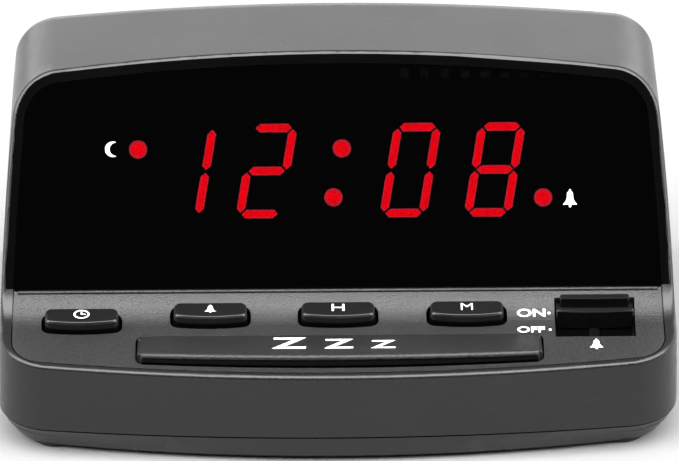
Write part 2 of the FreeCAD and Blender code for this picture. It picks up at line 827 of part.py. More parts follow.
def make_snooze_bar():
    """Bar with a rounded upper edge, its top falling to the deck at the rear, on two hooked posts and a stem."""
    rise = snooze_height / (snooze_rear - snooze_front)
    bar = snooze_prism(0, -snooze_depth - above, 0)
    bar = bar.makeFillet(snooze_edge_radius, edges_where(bar, lambda p: abs(p.z) < 1e-6))
    lean = FreeCAD.Matrix()
    lean.A32 = -rise
    lean.A34 = rise * snooze_rear
    bar = bar.transformGeometry(lean).common(box(-beyond, beyond, 0, beyond, -snooze_depth, above))
    posts = snooze_posts(snooze_post_radius, -well_depth - flange_gap - snooze_barb_height, -snooze_depth)
    posts[1] = snooze_posts(snooze_post_radius, stem_foot(snooze_travel), -snooze_depth)[1]
    barbs = snooze_posts(snooze_post_radius + post_clearance + snooze_barb,
                         -well_depth - flange_gap - snooze_barb_height, -well_depth - flange_gap)
    return on_deck(fuse([bar] + posts + [barbs[0], barbs[2]]))


def make_alarm_switch_knob():
    """Sliding knob: a full-width plate with a low front ridge and a taller grip behind it."""
    centre_x, along = switch_place()
    length = switch_rear - switch_front - 2 * switch_gap - switch_travel
    width = switch_right - switch_left - 2 * switch_gap
    front, rear = along - length / 2, along + length / 2
    low = -panel_depth + switch_gap
    slot = lambda w, f, r, z0, z1: bowed_plate(centre_x, w, f, r, switch_bow_radius, switch_corner_radius, z0, z1)
    plate = slot(width, front, rear, low, switch_front_ridge_height / 2)
    ridge = slot(width, front, front + switch_front_ridge, low, switch_front_ridge_height)
    grip_front = front + switch_front_ridge * 1.2
    grip = slot(width - 2 * switch_ridge_inset, grip_front, rear, low, switch_ridge_height)
    soften = lambda s, z: s.makeChamfer(switch_edge_chamfer, edges_where(s, lambda p: abs(p.z - z) < 1e-6))
    return on_deck(fuse([plate, soften(ridge, switch_front_ridge_height), soften(grip, switch_ridge_height)]))


def make_slide_switch_lever():
    x, along = switch_place()
    half = lever_size / 2
    low = -key_board_depth + slide_body_height - lever_depth_in_switch
    return on_deck(box(x - half, x + half, along - half, along + half, low, -panel_depth + switch_gap))


def make_slide_switch_body():
    x, along = switch_place()
    centre = along - switch_travel / 2
    half_x, half_y = slide_body_width / 2, slide_body_length / 2
    low, high = -key_board_depth, -key_board_depth + slide_body_height
    body = box(x - half_x, x + half_x, centre - half_y, centre + half_y, low, high)
    slot_x, slot_y = lever_size / 2 + switch_gap, (lever_size + switch_travel) / 2 + switch_gap
    floor = high - lever_depth_in_switch - switch_gap
    return on_deck(body.cut(box(x - slot_x, x + slot_x, centre - slot_y, centre + slot_y, floor, high)))


def tact_places():
    places = []
    for name in key_centres_x:
        front = time_key_front if name == time_key_name else key_front
        places.append((key_centres_x[name], front + key_depth / 2))
    return places + [(snooze_centre_x, (snooze_front + snooze_rear) / 2)]


def make_tact_switches():
    switches = []
    half = tact_width / 2
    base = -key_board_depth
    for x, y in tact_places():
        body = box(x - half, x + half, y - half, y + half, base, base + tact_height)
        plunger = post(tact_plunger_radius, x, y, base + tact_height, base + tact_height + tact_plunger_height)
        switches.append(on_deck(fuse([body, plunger])))
    return Part.makeCompound(switches)


def make_key_board():
    low, high = -key_board_depth - board_thickness, -key_board_depth
    board = box(-key_board_half_width, key_board_half_width, key_board_front, key_board_rear, low, high)
    upright = edges_where(board, lambda p: abs(abs(p.x) - key_board_half_width) < 1e-6)
    board = board.makeFillet(board_thickness, [e for e in upright if abs(e.Length - board_thickness) < 1e-6])
    for x, y in key_board_screws_at:
        board = board.cut(post(board_screw_radius + screw_clearance, x, y, low, high))
    return on_deck(board)


def make_main_board():
    high = main_board_front()
    low = high - board_thickness
    board = box(-main_board_half_width, main_board_half_width, main_board_bottom, main_board_top, low, high)
    for side in (-1, 1):
        for along in main_board_screws_along:
            board = board.cut(post(board_screw_radius + screw_clearance, side * main_board_screw_x, along, low, high))
    return on_window(board)


def hexagon(length, width):
    """A segment's outline lying along X with pointed ends, about the origin."""
    half, tip = width / 2, length / 2
    points = [Vector(-tip, 0), Vector(half - tip, -half), Vector(tip - half, -half), Vector(tip, 0),
              Vector(tip - half, half), Vector(half - tip, half)]
    return [line(a, b) for a, b in zip(points, points[1:] + points[:1])]


def segment(name, centre_x, low, high, grow=0.0):
    """One of a digit's seven bars, a to g, on the slanted digit."""
    half_w, half_h = digit_width / 2, digit_height / 2
    middles = {"a": (0, 2), "b": (1, 1.5), "c": (1, 0.5), "d": (0, 0), "e": (-1, 0.5), "f": (-1, 1.5), "g": (0, 1)}
    across, rows = middles[name]
    flat = name in "adg"
    length = (digit_width if flat else half_h) - segment_gap
    bar = prism(hexagon(length + 2 * grow, segment_width + 2 * grow), Vector(0, 0, high - low))
    if not flat:
        bar.rotate(Vector(0, 0, 0), Vector(0, 0, 1), 90)
    bar.translate(Vector(across * half_w, rows * half_h, low))
    slant = FreeCAD.Matrix()
    slant.A12 = math.tan(math.radians(digit_slant_deg))
    bar = bar.transformGeometry(slant)
    bar.translate(Vector(centre_x, digit_foot, 0))
    return bar


def digit_segments(lit):
    """Every bar of the display that is lit, or every one that is dark."""
    bars_of = {"0": "abcdef", "1": "bc", "2": "abged", "8": "abcdefg"}
    high = -(panel_depth + module_gap)
    shapes = []
    for k, centre_x in enumerate(digit_centres_x):
        fitted = "bc" if k == 0 else "abcdefg"
        for name in fitted:
            if (name in bars_of[shown_digits[k]]) == lit:
                shapes.append(segment(name, centre_x, high - segment_depth, high))
    return shapes


def dots(places):
    high = -(panel_depth + module_gap)
    return [post(dot_radius, x, y, high - segment_depth, high, medium_round_sides) for x, y in places]


def make_lit_segments():
    return Part.makeCompound([on_window(s) for s in digit_segments(True)])


def make_dark_segments():
    return Part.makeCompound([on_window(s) for s in digit_segments(False)])


def make_indicator_dots():
    return Part.makeCompound([on_window(s) for s in dots(colon_dots_at + [pm_dot_at, alarm_dot_at])])


def make_display_housing():
    low, high = main_board_front(), -(panel_depth + module_gap)
    body = box(-module_half_width, module_half_width, module_bottom, module_top, low, high)
    upright = [e for e in body.Edges if abs(e.Length - module_depth) < 1e-6]
    body = body.makeFillet(module_corner_radius, upright)
    pockets = digit_segments(True) + digit_segments(False) + dots(colon_dots_at + [pm_dot_at, alarm_dot_at])
    return on_window(body.cut(Part.makeCompound(pockets)))


def make_display_pins():
    """Solder tails of the display's pins on the rear of the main board."""
    back = main_board_front() - board_thickness
    centre, half = (module_bottom + module_top) / 2, pin_size / 2
    pins = []
    for k in range(pins_per_row):
        x = (k - (pins_per_row - 1) / 2) * pin_pitch
        for side in (-1, 1):
            y = centre + side * pin_row_offset
            pins.append(on_window(box(x - half, x + half, y - half, y + half, back - pin_length, back)))
    return Part.makeCompound(pins)


def make_clock_chip():
    """A wide plastic package on its two rows of legs."""
    back = main_board_front() - board_thickness
    centre = (module_bottom + module_top) / 2
    high = back - chip_stand_off
    half_l, half_w = chip_length / 2, chip_width / 2
    body = box(chip_x - half_l, chip_x + half_l, centre - half_w, centre + half_w, high - chip_height, high)
    notch = post(chip_notch_radius, chip_x - half_l, centre, high - chip_height, high - chip_height / 2)
    parts = [body.cut(notch)]
    for k in range(chip_leg_count):
        x = chip_x + (k - (chip_leg_count - 1) / 2) * pin_pitch
        for side in (-1, 1):
            y0, y1 = sorted((centre + side * half_w, centre + side * (half_w + pin_size)))
            parts.append(box(x - pin_size / 2, x + pin_size / 2, y0, y1, high - chip_height / 2, back))
    return on_window(fuse(parts))


def make_smoothing_capacitor():
    back = main_board_front() - board_thickness
    x, y = capacitor_at
    low, lid = back - capacitor_height, capacitor_radius - capacitor_lid_inset
    sleeve = post(capacitor_radius, x, y, low + capacitor_lid_height, back, medium_round_sides)
    return on_window(sleeve.fuse(post(lid, x, y, low, back, medium_round_sides)).removeSplitter())


def make_diodes():
    """Axial rectifier diodes side by side, each on its two bent leads."""
    back = main_board_front() - board_thickness
    diodes = []
    x0, y0 = first_diode_at
    for k in range(diode_count):
        x, high = x0 + k * diode_pitch, back - diode_radius
        body = rod(diode_radius, Vector(x, y0 - diode_length / 2, high), Vector(0, diode_length, 0))
        reach = diode_length / 2 + diode_bend
        route = [Vector(x, y0 - reach, back), Vector(x, y0 - reach, high), Vector(x, y0 + reach, high),
                 Vector(x, y0 + reach, back)]
        diodes.append(on_window(body.fuse(wire(route, diode_lead))))
    return Part.makeCompound(diodes)


def bent_path(points, share=0.45):
    """Straight runs joined by tangent arcs, each as large as its two runs allow."""
    edges, at = [], points[0]
    for before, corner, after in zip(points, points[1:], points[2:]):
        inward, outward = (corner - before).normalize(), (after - corner).normalize()
        reach = share * min((corner - before).Length, (after - corner).Length)
        half_turn = inward.getAngle(outward) / 2
        radius = reach / math.tan(half_turn)
        middle = corner + (outward - inward).normalize() * (radius / math.cos(half_turn) - radius)
        start, end = corner - inward * reach, corner + outward * reach
        edges += [line(at, start), arc(start, middle, end)]
        at = end
    return Part.Wire(edges + [line(at, points[-1])])


def wire(points, radius):
    """A lead with flat sides and mitred bends."""
    section = Part.Wire(ring_edges(radius, points[0], points[1] - points[0], small_round_sides))
    return Part.makePolygon(points).makePipeShell([section], True, False, 1)


def window_point(x, along, out):
    return on_window(Part.Vertex(x, along, out)).Point


def deck_point(x, along, out):
    return on_deck(Part.Vertex(x, along, out)).Point


def make_key_ribbon():
    """Flat cable from the key board's rear edge up to the main board's lower edge."""
    half = board_thickness / 2
    start = deck_point(-ribbon_width / 2, key_board_rear, -key_board_depth - half)
    end = window_point(-ribbon_width / 2, main_board_bottom, main_board_front() - half)
    d = Vector(0, math.cos(deck_slope), math.sin(deck_slope))
    w = Vector(0, math.cos(window_slope), math.sin(window_slope))
    gap = end - start
    t = (gap.y * w.z - gap.z * w.y) / (d.y * w.z - d.z * w.y)
    path = bent_path([start, start + d * t, end])
    across = Vector(0, -d.z, d.y) * (ribbon_thickness / 2)
    corners = [start - across, start + across]
    corners += [c + Vector(ribbon_width, 0, 0) for c in reversed(corners)]
    section = Part.Wire([line(a, b) for a, b in zip(corners, corners[1:] + corners[:1])])
    return path.makePipeShell([section], True, False)


def make_buzzer():
    """Round sounder with its port in the lower face, over the holes in the floor."""
    y = front_y + buzzer_setback
    body = post(buzzer_radius, buzzer_x, y, floor_z, floor_z + buzzer_height, medium_round_sides)
    return body.cut(post(buzzer_port_radius, buzzer_x, y, floor_z, floor_z + buzzer_port_depth))


def make_buzzer_leads():
    """Two short leads from the sounder up to the key board above it."""
    low, y = floor_z + buzzer_height, front_y + buzzer_setback - buzzer_radius / 2
    under_board = on_deck(box(-beyond, beyond, -beyond, beyond, -key_board_depth - board_thickness, beyond))
    leads = [post(lead_radius, buzzer_x + s * buzzer_radius / 2, y, low, deck_front_z) for s in (-1, 1)]
    return Part.makeCompound([lead.cut(under_board) for lead in leads])


def battery_limits():
    y = front_y + battery_front
    z = floor_z + door_gap
    return y, y + battery_width, z, z + battery_height


def make_backup_battery():
    """Nine volt block battery with its two snap terminals."""
    y0, y1, z0, z1 = battery_limits()
    right = battery_left + battery_length
    body = box(battery_left, right, y0, y1, z0, z1)
    body = body.makeFillet(battery_corner_radius, [e for e in body.Edges if abs(e.Length - battery_length) < 1e-6])
    for side in (-1, 1):
        base = Vector(right, (y0 + y1) / 2 + side * terminal_pitch / 2, (z0 + z1) / 2)
        body = body.fuse(rod(battery_terminal_radius, base, Vector(battery_terminal_height, 0, 0)))
    return body


def snap_face_x():
    return battery_left + battery_length + battery_terminal_height


def make_battery_snap():
    y0, y1, z0, z1 = battery_limits()
    y, z = (y0 + y1) / 2, (z0 + z1) / 2
    x, half_w, half_h = snap_face_x(), snap_width / 2, snap_height / 2
    plate = box(x, x + snap_thickness, y - half_w, y + half_w, z - half_h, z + half_h)
    return plate.makeFillet(half_h * 0.6, [e for e in plate.Edges if abs(e.Length - snap_thickness) < 1e-6])


def make_battery_leads():
    """Two leads from the snap up through the bay's roof to the rear of the main board."""
    y0, y1, z0, z1 = battery_limits()
    x, top = snap_face_x() + snap_thickness / 2, (z0 + z1 + snap_height) / 2
    back = main_board_front() - board_thickness
    leads = []
    for side in (-1, 1):
        y = (y0 + y1) / 2 + side * lead_spacing
        end = window_point(x, battery_lead_along + side * lead_spacing, back)
        before = window_point(x, battery_lead_along + side * lead_spacing, back - lead_run)
        route = [Vector(x, y, top), Vector(x, y, (top + before.z) / 2), before, end]
        leads.append(wire(route, lead_radius))
    return Part.makeCompound(leads)


def make_battery_door():
    """Flush door with two hook tabs at its hinge edge, ribs inside and a finger notch at the other end."""
    left, right, front, rear = bay_limits()
    x0, x1, y0, y1 = left + door_gap, right - door_gap, front + door_gap, rear - door_gap
    top = floor_z - door_gap
    plate = box(x0, x1, y0, y1, foot_proud, top)
    plate = plate.makeFillet(door_corner_radius, [e for e in plate.Edges if abs(e.Length - top + foot_proud) < 1e-6])
    notch = Part.makeSphere(door_notch_sphere, Vector(x0, (y0 + y1) / 2, foot_proud - door_notch_sphere / 2))
    plate = plate.cut(notch)
    parts = [plate]
    tab_low = floor_z + door_gap
    for y in door_tab_places():
        half = door_tab_width / 2
        parts.append(box(x1 - door_tab_root, x1, y - half, y + half, foot_proud, tab_low + door_tab_thickness))
        parts.append(box(x1 - door_tab_root, right + door_tab_reach - door_gap, y - half, y + half,
                         tab_low, tab_low + door_tab_thickness))
    return fuse(parts)


def transformer_base():
    return floor_z


def make_transformer_core():
    """Stacked iron core: two windows round a middle leg."""
    z, y = transformer_base(), front_y + transformer_setback
    half_w, half_s = core_width / 2, core_stack / 2
    core = box(transformer_x - half_w, transformer_x + half_w, y - half_s, y + half_s, z, z + core_height)
    for side in (-1, 1):
        x0, x1 = sorted((transformer_x + side * core_leg / 2 * 1.5, transformer_x + side * (half_w - core_leg)))
        core = core.cut(box(x0, x1, y - half_s, y + half_s, z + core_leg, z + core_height - core_leg))
    return core


def winding_limits():
    z = transformer_base()
    half_x = core_width / 2 - core_leg - winding_play
    half_y = core_stack / 2 + winding_overhang
    return half_x, half_y, z + core_leg + winding_play, z + core_height - core_leg - winding_play


def make_transformer_winding():
    """Bobbin with two flanges, wound round the middle leg."""
    half_x, half_y, low, high = winding_limits()
    y = front_y + transformer_setback
    leg_x, leg_y = core_leg / 2 * 1.5, core_stack / 2
    spool = lambda hx, hy, z0, z1: box(transformer_x - hx, transformer_x + hx, y - hy, y + hy, z0, z1)
    coil = spool(half_x - winding_step, half_y - winding_step, low, high)
    coil = coil.makeFillet(winding_overhang / 2, [e for e in coil.Edges if abs(e.Length - high + low) < 1e-6])
    flanges = [spool(half_x, half_y, low, low + winding_step), spool(half_x, half_y, high - winding_step, high)]
    return fuse([coil] + flanges).cut(spool(leg_x, leg_y, low, high))


def strap_screw_places():
    y = front_y + transformer_setback
    x = core_width / 2 + strap_thickness + strap_foot / 2
    return [(transformer_x + s * x, y) for s in (-1, 1)]


def make_transformer_bracket():
    """Sheet metal strap over the core with a screwed foot at each side."""
    z, y = transformer_base(), front_y + transformer_setback
    half, out = core_width / 2, core_width / 2 + strap_thickness
    half_w, top = strap_width / 2, z + core_height + strap_thickness
    foot_z = z + strap_post_height
    x = transformer_x
    strap = box(x - out, x + out, y - half_w, y + half_w, foot_z, top)
    strap = strap.cut(box(x - half, x + half, y - half_w, y + half_w, foot_z, z + core_height))
    feet = box(x - out - strap_foot, x + out + strap_foot, y - half_w, y + half_w, foot_z, foot_z + strap_thickness)
    strap = strap.fuse(feet.cut(box(x - half, x + half, y - half_w, y + half_w, foot_z, top)))
    for sx, sy in strap_screw_places():
        strap = strap.cut(post(board_screw_radius + screw_clearance, sx, sy, foot_z, foot_z + strap_thickness))
    return strap.removeSplitter()


def make_bracket_screws():
    screw = pan_screw(board_screw_radius, board_screw_head_radius, board_screw_head_height, bracket_screw_length)
    screw.rotate(Vector(0, 0, 0), Vector(1, 0, 0), 180)
    seat = transformer_base() + strap_post_height + strap_thickness
    return Part.makeCompound([screw.translated(Vector(x, y, seat)) for x, y in strap_screw_places()])


def make_transformer_leads():
    """Two secondary leads from the winding's front forward and up to the main board."""
    half_x, half_y, low, high = winding_limits()
    y = front_y + transformer_setback - half_y + winding_step
    back = main_board_front() - board_thickness
    leads = []
    for side in (-1, 1):
        x = transformer_x + side * lead_spacing * 2
        end = window_point(x, transformer_lead_along, back)
        before = window_point(x, transformer_lead_along, back - lead_run)
        z = low + (high - low) / 3
        route = [Vector(x, y, z), Vector(x, before.y, z), before, end]
        leads.append(wire(route, lead_radius))
    return Part.makeCompound(leads)


def make_cord_inlet_bush():
    """Flanged bush in the rear wall where the mains cord comes in."""
    depth = wall / math.cos(math.radians(rear_lean_deg))
    round_to = lambda radius, low, high: post(radius, 0, 0, low, high, medium_round_sides)
    neck = round_to(inlet_neck_radius, -depth - inlet_flange_thickness, 0)
    outer = round_to(inlet_flange_radius, 0, inlet_flange_thickness)
    on_face = lambda p: p.z > inlet_flange_thickness - 1e-6
    outer = outer.makeChamfer(inlet_flange_thickness / 2, edges_where(outer, on_face))
    inner = round_to(inlet_flange_radius - bush_barb, -depth - inlet_flange_thickness, -depth - panel_gap)
    bore = round_to(inlet_bore_radius, -above * 2, above)
    return on_rear(fuse([neck, outer, inner]).cut(bore), inlet_x, inlet_height)


makers = {
    "upper_case": make_upper_case,
    "base_case": make_base_case,
    "control_deck": make_control_deck,
    "display_lens": make_display_lens,
    "snooze_bar": make_snooze_bar,
    "alarm_switch_knob": make_alarm_switch_knob,
    "slide_switch_lever": make_slide_switch_lever,
    "slide_switch_body": make_slide_switch_body,
    "tact_switches": make_tact_switches,
    "key_board": make_key_board,
    "key_board_screws": make_key_board_screws,
    "main_board": make_main_board,
    "main_board_screws": make_main_board_screws,
    "display_housing": make_display_housing,
    "lit_segments": make_lit_segments,
    "dark_segments": make_dark_segments,
    "indicator_dots": make_indicator_dots,
    "display_pins": make_display_pins,
    "clock_chip": make_clock_chip,
    "smoothing_capacitor": make_smoothing_capacitor,
    "rectifier_diodes": make_diodes,
    "key_ribbon": make_key_ribbon,
    "buzzer": make_buzzer,
    "buzzer_leads": make_buzzer_leads,
    "backup_battery": make_backup_battery,
    "battery_snap": make_battery_snap,
    "battery_leads": make_battery_leads,
    "battery_door": make_battery_door,
    "transformer_core": make_transformer_core,
    "transformer_winding": make_transformer_winding,
    "transformer_bracket": make_transformer_bracket,
    "bracket_screws": make_bracket_screws,
    "transformer_leads": make_transformer_leads,
    "cord_inlet_bush": make_cord_inlet_bush,
    "case_screws": make_case_screws,
    "rubber_feet": make_rubber_feet,
}

os.makedirs("parts", exist_ok=True)
for name, make in makers.items():
    make().exportStep("parts/" + name + ".step")
for name in key_centres_x:
    make_key(name).exportStep("parts/" + name + ".step")
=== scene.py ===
import json
import math
import bmesh
import bpy
import numpy as np
from mathutils import Matrix, Vector


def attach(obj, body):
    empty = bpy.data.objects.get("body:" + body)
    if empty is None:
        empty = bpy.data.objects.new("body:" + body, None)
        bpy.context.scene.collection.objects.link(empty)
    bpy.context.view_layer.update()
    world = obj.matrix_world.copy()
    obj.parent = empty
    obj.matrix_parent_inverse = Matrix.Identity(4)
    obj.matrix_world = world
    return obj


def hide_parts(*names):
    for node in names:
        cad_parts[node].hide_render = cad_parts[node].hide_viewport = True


# Bedside LED alarm clock: finishes, lit display, printed marks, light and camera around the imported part.
# Metres in the object's own frame. Sizes in the dictionaries are millimetres unless a note says otherwise.

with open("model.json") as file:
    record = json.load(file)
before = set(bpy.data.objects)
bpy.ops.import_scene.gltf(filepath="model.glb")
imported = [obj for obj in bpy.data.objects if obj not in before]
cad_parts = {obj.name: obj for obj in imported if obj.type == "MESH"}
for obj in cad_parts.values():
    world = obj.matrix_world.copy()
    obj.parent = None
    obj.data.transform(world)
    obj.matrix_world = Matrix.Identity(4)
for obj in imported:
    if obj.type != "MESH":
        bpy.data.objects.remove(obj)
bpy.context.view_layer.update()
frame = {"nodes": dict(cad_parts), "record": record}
nodes = frame["nodes"]
print("frame loaded:", len(nodes), "nodes")

mm, micrometre = 0.001, 1e-6
deckStart = Vector((0.0, -38.1 * mm, 19.733 * mm))  # the groove in front of the key deck, on the middle line
windowFoot = Vector((0.0, -18.1 * mm, 26.6 * mm))   # where the window's frame starts
deckSlope = math.radians(11.0)
windowSlope = math.radians(57.0)


def slopeMatrix(start, slope, x=0.0, along=0.0, out=0.0):
    # carries a drawing in millimetres (x, up the slope, out of the surface) to its place on the object
    turn = Matrix.Rotation(slope, 4, "X")
    place = Matrix.Translation((x * mm, along * mm, out * mm))
    return Matrix.Translation(start) @ turn @ place @ Matrix.Scale(mm, 4)


def feed(tree, socket, value):
    # a number goes on the socket itself, anything else is linked to it
    if isinstance(value, (int, float)):
        socket.default_value = value
    else:
        tree.links.new(value, socket)


def mathNode(tree, operation, first, second):
    node = tree.nodes.new("ShaderNodeMath")
    node.operation = operation
    feed(tree, node.inputs[0], first)
    feed(tree, node.inputs[1], second)
    return node.outputs[0]


def noiseNode(tree, vector, scale, detail):
    node = tree.nodes.new("ShaderNodeTexNoise")
    node.inputs["Detail"].default_value = detail
    tree.links.new(vector, node.inputs["Vector"])
    feed(tree, node.inputs["Scale"], scale)
    return node.outputs["Fac"]


def rangeNode(tree, value, start, end, low=0.0, high=1.0):
    # start becomes low and end becomes high, straight between them and held beyond them
    node = tree.nodes.new("ShaderNodeMapRange")
    for label, number in zip(("From Min", "From Max", "To Min", "To Max"), (start, end, low, high)):
        node.inputs[label].default_value = number
    tree.links.new(value, node.inputs["Value"])
    return node.outputs[0]


def mixColour(tree, factor, first, second):
    # first where the factor is 0 and second where it is 1, each a colour or a link
    node = tree.nodes.new("ShaderNodeMix")
    node.data_type = "RGBA"
    tree.links.new(factor, node.inputs["Factor"])
    for label, colour in (("A", first), ("B", second)):
        if isinstance(colour, tuple):
            node.inputs[label].default_value = (*colour, 1.0)
        else:
            tree.links.new(colour, node.inputs[label])
    return node.outputs["Result"]


def attributeNode(tree, name):
    node = tree.nodes.new("ShaderNodeAttribute")
    node.attribute_name = name
    return node.outputs["Fac"]


def bumpNode(tree, shader, height, strength, distance):
    bump = tree.nodes.new("ShaderNodeBump")
    bump.inputs["Strength"].default_value = strength
    bump.inputs["Distance"].default_value = distance
    tree.links.new(height, bump.inputs["Height"])
    tree.links.new(bump.outputs["Normal"], shader.inputs["Normal"])


def newMaterial(name):
    material = bpy.data.materials.new(name)
    material.use_nodes = True
    return material, material.node_tree, material.node_tree.nodes["Principled BSDF"]


def nodeGroup(name, inputs, outputs):
    # an empty shader group with its named sockets; returns the tree and its two end nodes
    tree = bpy.data.node_groups.new(name, "ShaderNodeTree")
    for label, value in inputs.items():
        socket = tree.interface.new_socket(label, in_out="INPUT", socket_type="NodeSocketFloat")
        socket.default_value = value
    for label in outputs:
        tree.interface.new_socket(label, in_out="OUTPUT", socket_type="NodeSocketFloat")
    return tree, tree.nodes.new("NodeGroupInput"), tree.nodes.new("NodeGroupOutput")


def placeGroup(tree, group, values):
    node = tree.nodes.new("ShaderNodeGroup")
    node.node_tree = group
    for label, value in values.items():
        node.inputs[label].default_value = value
    return node


# what a finish has where its look says nothing else: scales per metre, depth of the grain in micrometres
plainLook = {
    "grainScale": 3200.0, "driftScale": 60.0, "patchScale": 35.0, "scuffScale": 900.0,
    "grainDepth": 20.0, "bumpStrength": 0.5, "shader": {}, "takesPaintedShade": False,
}
wornLighter = 1.25         # a worn patch against the base colour, where a look names no worn colour
driftSpan = (0.3, 0.7)     # the part of the drift that spans a finish's band of roughness
grainMix = {"pits": 0.6, "fine": 0.7, "fineScale": 1.6, "fineDetail": 2.0, "driftDetail": 3.0}
wearMix = {"patchDetail": 4.0, "scuffDetail": 5.0, "stretch": (0.25, 1.0, 1.0), "clean": 0.28, "worn": 0.42}


def grainGroup():
    # spark-eroded mould texture: small rounded pits with finer noise in them, and a slow drift for how matt they are
    tree, source, sink = nodeGroup(
        "mouldGrain", {"Grain Scale": plainLook["grainScale"], "Drift Scale": plainLook["driftScale"]},
        ("Height", "Drift"))
    where = tree.nodes.new("ShaderNodeTexCoord").outputs["Object"]
    pits = tree.nodes.new("ShaderNodeTexVoronoi")
    pits.feature = "SMOOTH_F1"
    tree.links.new(where, pits.inputs["Vector"])
    tree.links.new(source.outputs["Grain Scale"], pits.inputs["Scale"])
    fineScale = mathNode(tree, "MULTIPLY", source.outputs["Grain Scale"], grainMix["fineScale"])
    fine = noiseNode(tree, where, fineScale, grainMix["fineDetail"])
    height = mathNode(tree, "ADD", mathNode(tree, "MULTIPLY", pits.outputs["Distance"], grainMix["pits"]),
                      mathNode(tree, "MULTIPLY", fine, grainMix["fine"]))
    drift = noiseNode(tree, where, source.outputs["Drift Scale"], grainMix["driftDetail"])
    tree.links.new(height, sink.inputs["Height"])
    tree.links.new(drift, sink.inputs["Drift"])
    return tree


def wearGroup():
    # handling marks: broad rubbed patches broken up by fine scuffs, from 0 where clean to 1 where worn
    tree, source, sink = nodeGroup(
        "handlingWear", {"Patch Scale": plainLook["patchScale"], "Scuff Scale": plainLook["scuffScale"]}, ("Worn",))
    where = tree.nodes.new("ShaderNodeTexCoord").outputs["Object"]
    patch = noiseNode(tree, where, source.outputs["Patch Scale"], wearMix["patchDetail"])
    stretch = tree.nodes.new("ShaderNodeMapping")
    stretch.inputs["Scale"].default_value = wearMix["stretch"]
    tree.links.new(where, stretch.inputs["Vector"])
    scuff = noiseNode(tree, stretch.outputs[0], source.outputs["Scuff Scale"], wearMix["scuffDetail"])
    worn = rangeNode(tree, mathNode(tree, "MULTIPLY", patch, scuff), wearMix["clean"], wearMix["worn"])
    tree.links.new(worn, sink.inputs["Worn"])
    return tree


grainTree, wearTree = grainGroup(), wearGroup()

# painted shade, kept as an attribute of a piece: 1 in the wells of the deck, on the polished rim round the window
# and on the bar's front. There the colour is painted near black as shade, and the roughness and the grain lose a
# share of themselves.
paintedShade = {
    "colour": (0.0006, 0.0006, 0.0006), "roughness": 0.6, "grain": 0.9, "rimFacing": 0.99, "frontFacing": 0.93,
}


def lessened(tree, shadeMask, value, share):
    # value * (1 - share * shadeMask)
    left = mathNode(tree, "SUBTRACT", 1.0, mathNode(tree, "MULTIPLY", shadeMask, share))
    return mathNode(tree, "MULTIPLY", value, left)


def finish(name, look):
    # one material: base and worn colours, a band of roughness, grain, painted shade where the look takes it, and any
    # extra shader values
    look = {**plainLook, **look}
    material, tree, shader = newMaterial(name)
    grain = placeGroup(tree, grainTree, {"Grain Scale": look["grainScale"], "Drift Scale": look["driftScale"]})
    wear = placeGroup(tree, wearTree, {"Patch Scale": look["patchScale"], "Scuff Scale": look["scuffScale"]})
    worn = look.get("worn", tuple(level * wornLighter for level in look["colour"]))
    tint = mixColour(tree, wear.outputs["Worn"], look["colour"], worn)
    roughness = rangeNode(tree, grain.outputs["Drift"], *driftSpan, *look["roughness"])
    height = grain.outputs["Height"]
    if look["takesPaintedShade"]:
        # painted shade: where the piece's mask is 1 the colour is painted near black, and the roughness and the
        # grain are lessened
        shadeMask = attributeNode(tree, "painted_shade")
        tint = mixColour(tree, shadeMask, tint, paintedShade["colour"])
        roughness = lessened(tree, shadeMask, roughness, paintedShade["roughness"])
        height = lessened(tree, shadeMask, height, paintedShade["grain"])
    tree.links.new(tint, shader.inputs["Base Color"])
    tree.links.new(roughness, shader.inputs["Roughness"])
    bumpNode(tree, shader, height, look["bumpStrength"], look["grainDepth"] * micrometre)
    for label, value in look["shader"].items():
        shader.inputs[label].default_value = value
    return material


